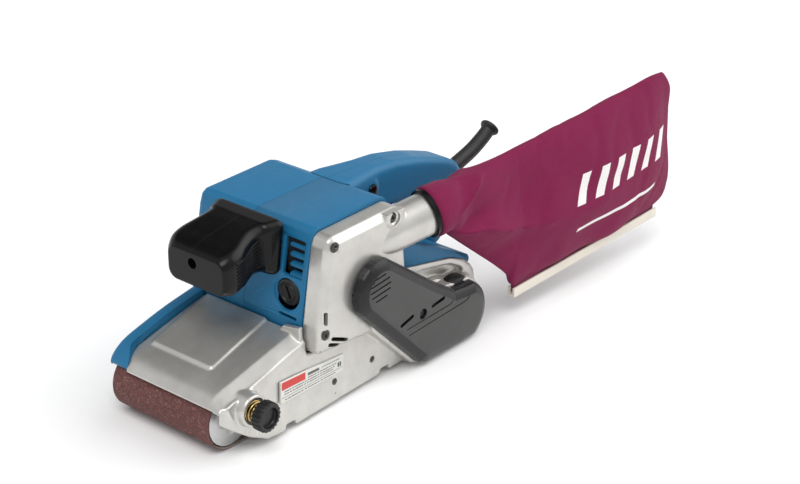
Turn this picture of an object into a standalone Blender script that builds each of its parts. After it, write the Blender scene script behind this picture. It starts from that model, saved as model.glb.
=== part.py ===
"""Handheld belt sander with a 100 x 610 mm belt, a D-handle and a dust bag.

Frame: +X points to the rear handle, -Y to the drive side, +Z up.  The origin is
the centre of the belt's flat lower run.  Drawing sizes below are millimetres;
MM turns them into metres.
"""
import math

import bmesh
import bpy
from mathutils import Matrix, Vector

MM = 0.001
GAP = 0.3                      # clearance kept between neighbouring pieces
WELD = 1e-5                    # metres; points closer than this are one point

# ---------------------------------------------------------------- driving sizes
BELT_WIDTH = 100.0
BELT_LENGTH = 610.0
BELT_THICK = 1.0
BELT_R = 24.3                  # outside of the belt on either roller
ROLLER_X = (BELT_LENGTH - 2 * math.pi * (BELT_R - BELT_THICK / 2)) / 4
ROLLER_R = BELT_R - BELT_THICK - GAP
ROLLER_HALF = 49.0
CROWN = 1.0                    # the front roller is this much thinner at its ends
HALF_BELT = BELT_WIDTH / 2

GEAR_MODULE = 1.0
PINION_TEETH = 10
GEAR_TEETH = 32
SMALL_PULLEY_TEETH = 24
LARGE_PULLEY_TEETH = 26
PULLEY_PITCH = 3.0
GEAR_X, GEAR_Z = 12.0, 88.0    # intermediate shaft
MOTOR_Z = 91.0                 # armature shaft, one centre distance from it
CENTRE_DISTANCE = GEAR_MODULE * (PINION_TEETH + GEAR_TEETH) / 2
MOTOR_X = GEAR_X - math.sqrt(CENTRE_DISTANCE ** 2 - (MOTOR_Z - GEAR_Z) ** 2)
SHAFT_R = 4.0

WALL = 3.0                     # plastic and casting wall thickness
COVER_FACE_Y = -74.0           # outer face of the gear cover
COVER_BACK_Y = -55.0
BELT_COVER_FACE_Y = -86.0
FAR_Y = 61.0
BRUSH_Y, BRUSH_Z = -36.0, MOTOR_Z
KNOB_X, KNOB_Z = -112.0, 36.5

NOZZLE_MOUTH = Vector((79.0, -74.0, 126.0))
NOZZLE_YAW = math.radians(-18.0)
NOZZLE_PITCH = math.radians(11.0)
NOZZLE_R = 17.0
NOZZLE_BORE_R = 14.5
BAG_YAW = math.radians(-6.0)
CLIP_START, CLIP_END = (96.0, 23.0), (276.0, 38.0)   # distance behind the mouth, height

HOUSING = [(-46, 53.3), (-44.5, 74), (-33, 134), (-30, 142), (-25, 145), (44, 145),
           (51, 142.7), (54, 136), (57, 100), (58, 53.3)]
COVER = [(-45.5, 51.6), (-43.5, 74), (-33, 134), (-30, 140), (-25, 142.5), (44, 142.5),
         (50, 140), (53, 135), (57, 90), (58, 41.2)]

PLASTIC_BLUE = ((0.02, 0.16, 0.32), 0.5, 0.0)
SILVER = ((0.60, 0.60, 0.58), 0.38, 0.7)
BLACK_GLOSS = ((0.012, 0.012, 0.014), 0.22, 0.0)
BLACK_MATTE = ((0.05, 0.052, 0.052), 0.5, 0.0)
STEEL = ((0.55, 0.55, 0.56), 0.3, 1.0)
ALUMINIUM = ((0.62, 0.62, 0.63), 0.4, 1.0)
COPPER = ((0.55, 0.24, 0.12), 0.35, 1.0)
BRASS = ((0.60, 0.42, 0.18), 0.35, 1.0)
RUBBER = ((0.02, 0.02, 0.02), 0.75, 0.0)
CARBON = ((0.04, 0.04, 0.045), 0.6, 0.0)
ABRASIVE = ((0.14, 0.05, 0.045), 0.9, 0.0)
GRAPHITE = ((0.06, 0.06, 0.065), 0.6, 0.0)
FABRIC = ((0.20, 0.02, 0.07), 0.85, 0.0)
IVORY = ((0.72, 0.68, 0.58), 0.4, 0.0)
PAPER = ((0.75, 0.74, 0.70), 0.5, 0.0)

AXIS_TURN = {
    "x": Matrix(((0, 0, 1), (1, 0, 0), (0, 1, 0))).to_4x4(),
    "y": Matrix(((1, 0, 0), (0, 0, -1), (0, 1, 0))).to_4x4(),
    "z": Matrix.Identity(4),
}

for old in list(bpy.data.objects):
    bpy.data.objects.remove(old, do_unlink=True)
PARTS = bpy.data.collections.new("belt_sander")
CUTTERS = bpy.data.collections.new("cutters")
for group in (PARTS, CUTTERS):
    bpy.context.scene.collection.children.link(group)


# ---------------------------------------------------------------- modelling tools
def add_mesh(name, mesh):
    """An object for a mesh, not yet in a collection."""
    return bpy.data.objects.new(name, mesh)


def place(obj, look):
    """Put a finished sub-part in the model with its own material."""
    if obj.modifiers:
        obj = baked(obj)
    colour, roughness, metallic = look
    material = bpy.data.materials.new(obj.name)
    material.use_nodes = True
    shader = material.node_tree.nodes["Principled BSDF"]
    shader.inputs["Base Color"].default_value = (*colour, 1.0)
    shader.inputs["Roughness"].default_value = roughness
    shader.inputs["Metallic"].default_value = metallic
    obj.data.materials.append(material)
    PARTS.objects.link(obj)
    return obj


def tool(obj):
    """Make an object a hidden tool for a Boolean."""
    obj.hide_render = True
    obj.display_type = "WIRE"
    CUTTERS.objects.link(obj)
    return obj


def combine(target, other, operation):
    modifier = target.modifiers.new(operation.lower(), "BOOLEAN")
    modifier.operation = operation
    modifier.solver = "EXACT"
    modifier.object = tool(other)
    return target


def cut(target, *cutters):
    for cutter in cutters:
        combine(target, cutter, "DIFFERENCE")
    return target


def join(target, *others):
    for other in others:
        combine(target, other, "UNION")
    return target


def bevel(obj, width, segments=2, angle=35.0):
    modifier = obj.modifiers.new("bevel", "BEVEL")
    modifier.width = width * MM
    modifier.segments = segments
    modifier.limit_method = "ANGLE"
    modifier.angle_limit = math.radians(angle)
    return obj


def baked(obj):
    """The same object with its modifiers or curve turned into a welded mesh."""
    bpy.context.scene.collection.objects.link(obj)
    bpy.context.view_layer.update()
    graph = bpy.context.evaluated_depsgraph_get()
    mesh = bpy.data.meshes.new_from_object(obj.evaluated_get(graph))
    mesh.transform(obj.matrix_world)
    name = obj.name
    bpy.data.objects.remove(obj, do_unlink=True)
    bm = bmesh.new()
    bm.from_mesh(mesh)
    bmesh.ops.remove_doubles(bm, verts=bm.verts, dist=WELD)
    bmesh.ops.holes_fill(bm, edges=bm.edges, sides=4)
    bmesh.ops.recalc_face_normals(bm, faces=bm.faces)
    bm.to_mesh(mesh)
    bm.free()
    mesh.materials.clear()
    return add_mesh(name, mesh)


def prism(name, loops, low, high, axis="y"):
    """Flat outline, with holes after the first loop, extruded along an axis.

    Outline points are (x, z) for axis y, (x, y) for axis z and (y, z) for axis x.
    """
    if isinstance(loops[0][0], (int, float)):
        loops = [loops]
    curve = bpy.data.curves.new(name, "CURVE")
    curve.dimensions = "2D"
    curve.fill_mode = "BOTH"
    curve.extrude = (high - low) / 2 * MM
    for loop in loops:
        spline = curve.splines.new("POLY")
        spline.points.add(len(loop) - 1)
        for point, (u, v) in zip(spline.points, loop):
            point.co = (u * MM, v * MM, 0.0, 1.0)
        spline.use_cyclic_u = True
    obj = bpy.data.objects.new(name, curve)
    middle = (low + high) / 2 * MM
    obj.matrix_world = Matrix.Translation({"x": (middle, 0, 0), "y": (0, middle, 0),
                                           "z": (0, 0, middle)}[axis]) @ AXIS_TURN[axis]
    return baked(obj)


def box(name, low, high):
    bm = bmesh.new()
    bmesh.ops.create_cube(bm, size=1.0)
    for vert in bm.verts:
        vert.co = Vector([(a + b) / 2 + c * (b - a) for a, b, c in zip(low, high, vert.co)]) * MM
    mesh = bpy.data.meshes.new(name)
    bm.to_mesh(mesh)
    bm.free()
    return add_mesh(name, mesh)


def turned(name, profile, origin, direction, steps=24):
    """Profile of (radius, distance along the direction) turned about the axis.

    The profile is listed down its outer side, from the far end back to the near
    end.  A profile that never touches the axis is closed into a ring.
    """
    ring = min(radius for radius, _ in profile) > 0
    mesh = bpy.data.meshes.new(name)
    verts = [(radius * MM, 0.0, along * MM) for radius, along in profile]
    edges = [(i, i + 1) for i in range(len(profile) - 1)]
    if ring:
        edges.append((len(profile) - 1, 0))
    mesh.from_pydata(verts, edges, [])
    obj = bpy.data.objects.new(name, mesh)
    screw = obj.modifiers.new("turn", "SCREW")
    screw.steps = screw.render_steps = steps
    screw.use_merge_vertices = True
    screw.merge_threshold = 1e-5
    turn = Vector((0, 0, 1)).rotation_difference(Vector(direction).normalized())
    obj.matrix_world = Matrix.Translation(Vector(origin) * MM) @ turn.to_matrix().to_4x4()
    return baked(obj)


def rod(name, origin, direction, radius, start, end, steps=24, chamfer=0.0):
    c = min(chamfer, radius / 2)
    if c > 0:
        profile = [(0, end), (radius - c, end), (radius, end - c), (radius, start + c),
                   (radius - c, start), (0, start)]
    else:
        profile = [(0, end), (radius, end), (radius, start), (0, start)]
    return turned(name, profile, origin, direction, steps)


def rod_y(name, x, z, radius, low, high, steps=24, chamfer=0.0):
    return rod(name, (x, 0, z), (0, 1, 0), radius, low, high, steps, chamfer)


def ring_y(name, x, z, inner, outer, low, high, steps=24):
    profile = [(inner, high), (outer, high), (outer, low), (inner, low)]
    return turned(name, profile, (x, 0, z), (0, 1, 0), steps)


def tube(name, points, radius, resolution=3):
    """A round bar along a smooth run of points."""
    curve = bpy.data.curves.new(name, "CURVE")
    curve.dimensions = "3D"
    curve.bevel_depth = radius * MM
    curve.bevel_resolution = resolution
    curve.use_fill_caps = True
    spline = curve.splines.new("POLY")
    spline.points.add(len(points) - 1)
    for point, place_mm in zip(spline.points, points):
        point.co = (*[value * MM for value in place_mm], 1.0)
    return baked(bpy.data.objects.new(name, curve))


def loft(name, sections):
    """Skin over closed sections that all have the same number of points."""
    bm = bmesh.new()
    rings = [[bm.verts.new(Vector(point) * MM) for point in section] for section in sections]
    count = len(rings[0])
    for near, far in zip(rings, rings[1:]):
        for i in range(count):
            j = (i + 1) % count
            bm.faces.new((near[i], near[j], far[j], far[i]))
    bm.faces.new(rings[0][::-1])
    bm.faces.new(rings[-1])
    bmesh.ops.recalc_face_normals(bm, faces=bm.faces)
    mesh = bpy.data.meshes.new(name)
    bm.to_mesh(mesh)
    bm.free()
    return add_mesh(name, mesh)


def arc(x, z, radius, start, end, count):
    """Points on an arc, angles in degrees from +X towards +Z."""
    step = (end - start) / (count - 1)
    return [(x + radius * math.cos(math.radians(start + step * i)),
             z + radius * math.sin(math.radians(start + step * i))) for i in range(count)]


def stadium(x_low, x_high, z, r_low, r_high=None, count=13):
    r_high = r_low if r_high is None else r_high
    return arc(x_low, z, r_low, 90, 270, count) + arc(x_high, z, r_high, -90, 90, count)


def inset(points, distance):
    """The outline moved inwards by a distance, corner by corner."""
    area = sum(a[0] * b[1] - b[0] * a[1] for a, b in zip(points, points[1:] + points[:1]))
    side = 1.0 if area > 0 else -1.0
    result = []
    for i, corner in enumerate(points):
        before = Vector(corner) - Vector(points[i - 1])
        after = Vector(points[(i + 1) % len(points)]) - Vector(corner)
        n1 = Vector((-before.y, before.x)).normalized() * side
        n2 = Vector((-after.y, after.x)).normalized() * side
        shift = (n1 + n2) / max(0.3, 1.0 + n1.dot(n2))
        result.append(tuple(Vector(corner) + shift * distance))
    return result


def teeth(x, z, count, tip, root, phase=0.0, share=0.36, foot=0.31):
    """Outline of a toothed wheel; phase, tip share and foot are in tooth pitches."""
    points = []
    for i in range(count):
        for part, radius in ((-foot, root), (-share / 2, tip), (share / 2, tip), (foot, root)):
            angle = 2 * math.pi * (i + phase + part) / count
            points.append((x + radius * math.cos(angle), z + radius * math.sin(angle)))
    return points


def rounded_section(x_of, y_low, y_high, z_low, z_high, corner, per_corner=5):
    """A rounded rectangle across X; x_of gives X for a height."""
    points = []
    centres = [(y_high - corner, z_high - corner, 0), (y_low + corner, z_high - corner, 90),
               (y_low + corner, z_low + corner, 180), (y_high - corner, z_low + corner, 270)]
    for y, z, start in centres:
        for py, pz in arc(y, z, corner, start, start + 90, per_corner):
            points.append((x_of(pz), py, pz))
    return points


def smooth_path(points, per_span=5):
    """A Catmull-Rom curve through the points."""
    padded = [2 * Vector(points[0]) - Vector(points[1])] + [Vector(p) for p in points]
    padded.append(2 * Vector(points[-1]) - Vector(points[-2]))
    result = []
    for a, b, c, d in zip(padded, padded[1:], padded[2:], padded[3:]):
        for i in range(per_span):
            t = i / per_span
            result.append(0.5 * (2 * b + (c - a) * t + (2 * a - 5 * b + 4 * c - d) * t ** 2
                                 + (3 * b - a - 3 * c + d) * t ** 3))
    return result + [Vector(points[-1])]


def coil_points(x, y, z, axis, radius, low, high, turns, per_turn=9):
    points = []
    total = int(turns * per_turn)
    for i in range(total + 1):
        angle = 2 * math.pi * i / per_turn
        along = low + (high - low) * i / total
        u, v = radius * math.cos(angle), radius * math.sin(angle)
        points.append((x + u, y + along, z + v) if axis == "y" else (x + along, y + u, z + v))
    return points


# ---------------------------------------------------------------- belt and rollers
def sanding_belt():
    loop = stadium(-ROLLER_X, ROLLER_X, BELT_R, BELT_R)
    hole = stadium(-ROLLER_X, ROLLER_X, BELT_R, BELT_R - BELT_THICK)
    place(prism("sanding_belt", [loop, hole], -HALF_BELT, HALF_BELT), ABRASIVE)


def front_roller():
    stations = [ROLLER_HALF * (1 - i / 3) for i in range(7)]
    bore = SHAFT_R + GAP
    profile = [(bore, ROLLER_HALF)]
    profile += [(ROLLER_R - CROWN * (y / ROLLER_HALF) ** 2, y) for y in stations]
    profile += [(bore, -ROLLER_HALF)]
    place(turned("front_roller", profile, (-ROLLER_X, 0, BELT_R), (0, 1, 0)), ALUMINIUM)
    place(rod_y("front_axle", -ROLLER_X, BELT_R, SHAFT_R, -56.3, 56.3, 24, 0.5), STEEL)


def roller_fork():
    outline = [(-123, -56.5), (-76, -56.5), (-76, 56.5), (-123, 56.5), (-123, 51.5),
               (-86, 51.5), (-86, -51.5), (-123, -51.5)]
    fork = prism("roller_fork", outline, 17, 31, "z")
    join(fork, box("fork_ear", (-120, -56.4, 30), (-104, -51.6, 42)))
    cut(fork, rod_y("fork_axle_hole", -ROLLER_X, BELT_R, SHAFT_R + GAP, -60, 60, 24),
        rod("fork_pivot_hole", (-80.5, 0, 0), (0, 0, 1), SHAFT_R + GAP, 15, 33, 24))
    place(fork, STEEL)


def tension_carriage():
    block = box("tension_carriage", (-73, -10, 13), (-62, 10, 35))
    join(block, box("carriage_upper_jaw", (-87, -10, 31.4), (-72, 10, 35)),
         box("carriage_lower_jaw", (-87, -10, 13), (-72, 10, 16.6)),
         rod("carriage_pin", (-80.5, 0, 0), (0, 0, 1), SHAFT_R, 14, 34, 24),
         rod("carriage_stem", (0, 0, 24), (1, 0, 0), 6.0, -63, -22, 24, 1.0))
    place(block, STEEL)
    spring = coil_points(0, 0, 24, "x", 8.6, -60.6, -51.4, 4)
    place(tube("tension_spring", spring, 0.9, 1), STEEL)


def drive_roller():
    origin = (ROLLER_X, 0, BELT_R)
    shaft = [(0, 56), (5, 56), (5, 49), (19.7, 49), (19.7, -49), (6, -49), (6, -83.2), (0, -83.2)]
    place(turned("drive_roller", shaft, origin, (0, 1, 0)), ALUMINIUM)
    place(ring_y("drive_roller_tyre", *origin[::2], 20.0, ROLLER_R, -ROLLER_HALF, ROLLER_HALF),
          RUBBER)
    place(ring_y("drive_bearing_near", *origin[::2], 6.3, 12.7, -66, -58.5, 28), STEEL)
    place(ring_y("drive_bearing_far", *origin[::2], 5.3, 10.7, 51.3, 55.2, 28), STEEL)


def platen():
    place(box("platen_pad", (-88, -48, 1.3), (88, 48, 2.8)), GRAPHITE)
    place(box("platen_plate", (-88, -48, 3.1), (88, 48, 4.6)), STEEL)


# ---------------------------------------------------------------- base frame
WALL_OUTLINE = [(-138, 41.5), (-137, 31), (-114, 14), (-97, 5), (-84, 4), (128, 4), (140, 10),
                (147, 24), (148, 40), (146, 50), (142, 56), (132, 64), (116, 71), (60.3, 83),
                (60.3, 40.7), (-46.5, 51.2), (-46.5, 62), (-115, 48), (-126, 45.5), (-134, 43.5)]
HOOD_TOP = [(-46.6, 67), (-115, 53), (-126, 50), (-134, 46.5), (-138.5, 41)]


def draft(x, z):
    """Outer face of the drive-side wall: it leans inwards towards the front hood."""
    return -67.0 if x > 20 else -69.0 + 0.155 * (z - 4.0)


def base_frame():
    frame = prism("base_frame", WALL_OUTLINE, -69, -58)
    for vert in frame.data.vertices:
        if vert.co.y < -0.065:
            vert.co.y = draft(vert.co.x / MM, vert.co.z / MM) * MM
    under = arc(-ROLLER_X, BELT_R, BELT_R + 2.0, 143, 90, 6)
    hood = HOOD_TOP + under + [(-46.6, BELT_R * 2 + 2.0)]
    join(frame,
         prism("frame_hood", hood, -60.7, 44),
         box("frame_deck", (-50, -54.7, 50.4), (59, 43.7, 53.0)),
         box("frame_web", (-50, -54.7, 37.0), (60, -51.2, 52.0)),
         box("frame_ledge", (-50, -60.0, 36.5), (60, -51.2, 40.7)),
         prism("frame_bridge", [[(-50, 5.1), (84, 5.1), (84, 40), (-50, 40)],
                                [(-46, 9), (80, 9), (80, 36), (-46, 36)]], -58.5, 38),
         box("frame_arm_root", (60, 37, 12), (84, 55.5, 36)),
         prism("frame_arm", stadium(70, ROLLER_X, BELT_R, 11, 14.5), 51.2, 55.5),
         box("frame_lever_tab_top", (-46, 36, 33), (-34, 50, 37.5)),
         box("frame_lever_tab_low", (-46, 36, 7.5), (-34, 50, 12.5)),
         rod_y("frame_knob_boss", KNOB_X, KNOB_Z, 13.5, -71, -58, 32, 1.0))
    cut(frame,
        rod_y("drive_near_hole", ROLLER_X, BELT_R, 13.0, -75, -55),
        rod_y("drive_far_hole", ROLLER_X, BELT_R, 11.0, 50, 60),
        rod("stem_bore", (0, 0, 24), (1, 0, 0), 6.3, -52, -44, 24),
        rod("lever_pin_holes", (-40, 45, 0), (0, 0, 1), 3.3, 5, 40, 20),
        rod_y("knob_recess", KNOB_X, KNOB_Z, 10.5, -73, -61.5),
        rod_y("knob_bore", KNOB_X, KNOB_Z, 3.4, -62, -50, 20))
    place(frame, SILVER)
    place(rod("lever_pin", (-40, 45, 0), (0, 0, 1), 3.0, 9.5, 36, 20), STEEL)


def tension_lever():
    outline = arc(-40, 45, 5.5, 40, 320, 12) + [(18, 43), (21, 45.5), (18, 48)]
    lever = prism("tension_lever", outline, 17, 29, "z")
    cut(lever, rod("lever_hole", (-40, 45, 0), (0, 0, 1), 3.3, 15, 31, 20))
    place(lever, STEEL)


def front_skirt():
    under = arc(-ROLLER_X, BELT_R, BELT_R + 2.7, 142, 90, 6)
    top = [(-47, 70), (-105, 60), (-124, 55.5), (-132, 51), (-137, 44)]
    skirt = prism("front_skirt", top + under + [(-47, BELT_R * 2 + 2.7)], 44.4, 56)
    place(bevel(skirt, 2.0), PLASTIC_BLUE)


def tracking_knob():
    grooves = teeth(KNOB_X, KNOB_Z, 18, 11.6, 10.9, 0, 0.5)
    knob = prism("tracking_knob", grooves, -86, -75.2)
    cut(knob, rod_y("knob_cup", KNOB_X, KNOB_Z, 7.5, -88, -82, 24))
    join(knob, rod_y("knob_screw", KNOB_X, KNOB_Z, 3.0, -76, -58.6, 16))
    place(knob, BLACK_GLOSS)
    spring = coil_points(KNOB_X, 0, KNOB_Z, "y", 7.4, -73.9, -62.8, 4)
    place(tube("tracking_spring", spring, 0.8, 1), BRASS)


# ---------------------------------------------------------------- motor and gears
def toothed_wheel(name, x, z, count, tip, root, bore, low, high, look, **shape):
    wheel = prism(name, [teeth(x, z, count, tip, root, **shape), arc(x, z, bore, 0, 345, 24)],
                  low, high)
    return place(wheel, look)


def gear_train():
    module = GEAR_MODULE
    lean = math.atan2(MOTOR_Z - GEAR_Z, MOTOR_X - GEAR_X) / (2 * math.pi)
    gear_phase = lean * GEAR_TEETH
    pinion_phase = (lean + 0.5) * PINION_TEETH + 0.5
    toothed_wheel("reduction_gear", GEAR_X, GEAR_Z, GEAR_TEETH, 16.9, 14.8, 5.3, -65, -59,
                  STEEL, phase=gear_phase, share=0.2, foot=0.25)
    pinion = prism("armature_pinion", teeth(MOTOR_X, MOTOR_Z, PINION_TEETH, 5.8, 3.8,
                                            pinion_phase, 0.14, 0.22), -67, -58.4)
    place(pinion, STEEL)
    place(rod_y("intermediate_shaft", GEAR_X, GEAR_Z, 5.0, -83.2, -50.5, 24, 0.5), STEEL)
    toothed_wheel("small_pulley", GEAR_X, GEAR_Z, SMALL_PULLEY_TEETH,
                  SMALL_PULLEY_TEETH * PULLEY_PITCH / (2 * math.pi) * module, 10.4, 5.3,
                  -83, -76.8, ALUMINIUM)
    toothed_wheel("large_pulley", ROLLER_X, BELT_R, LARGE_PULLEY_TEETH,
                  LARGE_PULLEY_TEETH * PULLEY_PITCH / (2 * math.pi), 11.3, 6.3,
                  -83, -76.8, ALUMINIUM)
    place(ring_y("gear_bearing_inner", GEAR_X, GEAR_Z, 5.3, 8.7, -54.3, -50.7, 24), STEEL)
    place(ring_y("gear_bearing_outer", GEAR_X, GEAR_Z, 5.3, 8.7, -73.5, -66.5, 24), STEEL)


def timing_belt():
    """A flat loop round both pulleys; its outside radii are the pulleys' plus 1.8."""
    small = SMALL_PULLEY_TEETH * PULLEY_PITCH / (2 * math.pi) + GAP
    large = LARGE_PULLEY_TEETH * PULLEY_PITCH / (2 * math.pi) + GAP
    run = math.degrees(math.atan2(BELT_R - GEAR_Z, ROLLER_X - GEAR_X))
    loops = []
    for extra in (1.5, 0.0):
        loops.append(arc(GEAR_X, GEAR_Z, small + extra, run + 90, run + 270, 13)
                     + arc(ROLLER_X, BELT_R, large + extra, run - 90, run + 90, 13))
    place(prism("timing_belt", loops, -82.8, -77), RUBBER)


def armature():
    shaft = [(0, 57), (SHAFT_R, 57), (SHAFT_R, -58), (0, -58)]
    place(turned("armature_shaft", shaft, (MOTOR_X, 0, MOTOR_Z), (0, 1, 0), 24), STEEL)
    bore = SHAFT_R + GAP
    core = prism("armature_core", [teeth(MOTOR_X, MOTOR_Z, 12, 18.0, 14.5),
                                   arc(MOTOR_X, MOTOR_Z, bore, 0, 345, 24)], -16, 24)
    join(core, ring_y("end_winding_near", MOTOR_X, MOTOR_Z, bore + 1, 13.5, -25, -15, 24),
         ring_y("end_winding_far", MOTOR_X, MOTOR_Z, bore + 1, 13.5, 23, 33, 24))
    place(core, STEEL)
    place(ring_y("commutator", MOTOR_X, MOTOR_Z, bore, 11.0, -44, -28), COPPER)
    toothed_wheel("cooling_fan", MOTOR_X, MOTOR_Z, 14, 25.0, 12.0, bore, 38, 47, BLACK_MATTE)
    place(ring_y("commutator_bearing", MOTOR_X, MOTOR_Z, bore, 10.0, -54.3, -49, 24), STEEL)
    place(ring_y("fan_bearing", MOTOR_X, MOTOR_Z, bore, 10.0, 49.5, 56, 24), STEEL)


def stator():
    profile = [(19.5, 24), (20, 33), (25.5, 33), (27, 24), (27, -16), (25.5, -25), (20, -25),
               (19.5, -16)]
    place(turned("stator", profile, (MOTOR_X, 0, MOTOR_Z), (0, 1, 0)), COPPER)


def brushes():
    """Holders, carbons and screw caps of the two brushes, along X at the commutator."""
    half = 5.0
    outer = [(BRUSH_Y - half, BRUSH_Z - half), (BRUSH_Y + half, BRUSH_Z - half),
             (BRUSH_Y + half, BRUSH_Z + half), (BRUSH_Y - half, BRUSH_Z + half)]
    inner = inset(outer, 1.4)
    carbon = inset(outer, 1.8)
    spans = (("front", (-37.0, -22.0), (-35.0, -20.2), (-43.8, -37.8)),
             ("rear", (4.5, 50.0), (2.8, 20.0), (52.8, 58.4)))
    for side, holder, stick, cap in spans:
        place(prism("brush_holder_" + side, [outer, inner], *holder, "x"), BRASS)
        place(prism("carbon_brush_" + side, carbon, *stick, "x"), CARBON)
        disc = rod("brush_cap_" + side, (0, BRUSH_Y, BRUSH_Z), (1, 0, 0), 11.9, *cap, 32, 0.8)
        slot_x = (-46, -42.3) if side == "front" else (57.2, 60)
        cut(disc, box("cap_slot_" + side, (slot_x[0], BRUSH_Y - 1.0, BRUSH_Z - 7),
                      (slot_x[1], BRUSH_Y + 1.0, BRUSH_Z + 7)))
        place(disc, BLACK_MATTE)


def gear_bulkhead():
    plate = prism("gear_bulkhead", inset(HOUSING, WALL + 0.4), -54.3, -50.8)
    cut(plate, rod_y("bulkhead_motor_hole", MOTOR_X, MOTOR_Z, 10.3, -60, -45),
        rod_y("bulkhead_gear_hole", GEAR_X, GEAR_Z, 9.0, -60, -45))
    place(plate, ALUMINIUM)


# ---------------------------------------------------------------- housings and covers
def motor_housing():
    shell = prism("motor_housing", [HOUSING, inset(HOUSING, WALL)], COVER_BACK_Y + GAP, 3.85)
    for i in range(4):
        z = 105.5 + 8.2 * i
        cut(shell, box("front_vent", (-50, -51.5, z), (-26, -34, z + 5)))
    cut(shell, box("front_slot", (-50, -49, 73.5), (-36, -33, 76.5)),
        rod("brush_hole_front", (0, BRUSH_Y, BRUSH_Z), (1, 0, 0), 12.4, -60, -34),
        rod("brush_hole_rear", (0, BRUSH_Y, BRUSH_Z), (1, 0, 0), 12.4, 50, 70))
    place(shell, PLASTIC_BLUE)


def fan_housing():
    body = prism("fan_housing", HOUSING, 4.15, FAR_Y)
    bevel(body, 1.8, 2, 50)
    cut(body, prism("fan_space", inset(HOUSING, WALL + 0.2), 3.0, FAR_Y - WALL))
    join(body, ring_y("fan_bearing_cup", MOTOR_X, MOTOR_Z, 10.3, 13.5, 49, FAR_Y - 2.5))
    for i in range(6):
        z = 66 + 9 * i
        cut(body, box("exhaust_slot", (24, FAR_Y - 5, z), (46, FAR_Y + 2, z + 4.5)))
    place(body, PLASTIC_BLUE)


def nozzle_direction():
    flat = math.cos(NOZZLE_PITCH)
    return Vector((flat * math.cos(NOZZLE_YAW), flat * math.sin(NOZZLE_YAW),
                   math.sin(NOZZLE_PITCH)))


def gear_cover():
    cover = prism("gear_cover", COVER, COVER_FACE_Y, COVER_BACK_Y)
    bevel(cover, 2.0, 2, 50)
    along = nozzle_direction()
    nozzle = rod("nozzle_outside", NOZZLE_MOUTH, along, NOZZLE_R, -66, 0, 28)
    cut(nozzle, box("nozzle_joint", (-60, COVER_BACK_Y - 0.1, 30), (58.6, -20, 180)))
    join(cover, baked(nozzle))
    cut(cover, prism("cover_space", inset(COVER, WALL), COVER_FACE_Y + 3, COVER_BACK_Y + 2))
    join(cover, rod_y("cover_bearing_boss", GEAR_X, GEAR_Z, 12.0, COVER_FACE_Y + 1, -66))
    cut(cover, rod("nozzle_bore", NOZZLE_MOUTH, along, NOZZLE_BORE_R, -60, 3, 28))
    for x, z in COVER_SCREWS:
        cut(cover, rod_y("cover_screw_seat", x, z, 4.2, COVER_FACE_Y - 2, COVER_FACE_Y + 2, 16))
    cut(cover, rod_y("cover_shaft_hole", GEAR_X, GEAR_Z, 9.0, -80, -60, 30))
    place(cover, SILVER)


COVER_SCREWS = [(-26.5, 135.5), (38.0, 136.0), (-38.0, 68.0)]


def screw_head(name, x, z, radius, low, high):
    head = rod_y(name, x, z, radius, low, high, 16, 0.4)
    for angle in (45, 135):
        blade = box("cross", (-radius * 0.6, low - 1, -0.5), (radius * 0.6, low + 1.0, 0.5))
        blade.data.transform(Matrix.Rotation(math.radians(angle), 4, "Y"))
        blade.data.transform(Matrix.Translation((x * MM, 0, z * MM)))
        cut(head, blade)
    place(head, STEEL)


def cover_screws():
    for number, (x, z) in enumerate(COVER_SCREWS, 1):
        screw_head(f"gear_cover_screw_{number}", x, z, 3.8, COVER_FACE_Y + 0.2, COVER_FACE_Y + 1.7)
    screw_head("belt_cover_screw", 59.3, 50.5, 3.6, -84.6, -82.0)


BELT_COVER = (arc(13, 88, 24.5, 62, 218, 12) + [(60, 5.5), (66, 3.0), (128, 2.0)]
              + arc(115.5, 26, 27.5, -55, 62, 11) + [(117, 51.0), (103, 53.0), (80, 68.5)])


def belt_cover():
    cover = prism("belt_cover", BELT_COVER, BELT_COVER_FACE_Y, -76.3)
    cut(cover, prism("belt_cover_space", inset(BELT_COVER, 2.6), BELT_COVER_FACE_Y + 2.5, -74),
        rod_y("belt_cover_screw_hole", 59.3, 50.5, 4.0, -90, -80, 16))
    place(cover, BLACK_MATTE)


def rear_cover():
    top = [(58.9, 104), (68, 101), (150, 58.5), (152, 54)]
    shell = prism("rear_cover", [(58.9, 53.5)] + top + [(150, 51.2), (116, 51.2), (112, 53.5)],
                  -57.6, 56)
    rim = [(x, z + 0.5) for x, z in WALL_OUTLINE[11:14]][::-1]
    crest = [(136, 63), (120, 75.5), (100, 86), (68, 100.5), (58.9, 103.5)]
    wing = prism("rear_cover_wing", [(58.9, 84)] + rim + crest, -66.0, -57.0)
    join(shell, wing)
    cut(shell, prism("rear_space", [(50, 40), (50, 98), (66, 97.5), (146, 55.5), (146, 40)],
                     -54, 52.5))
    place(shell, PLASTIC_BLUE)


HANDLE = [(58.9, 149), (76, 148.5), (110, 142), (140, 134), (165, 125.5), (188, 116), (201, 107.5),
          (206, 99), (200, 85), (187, 70), (178, 58), (169, 50.5), (162, 47), (156.5, 48),
          (153.5, 52), (154, 60), (159, 68), (163, 78), (161, 88), (152, 96), (137, 101), (117, 105),
          (85, 108), (66, 106), (58.9, 104.5)]


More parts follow.
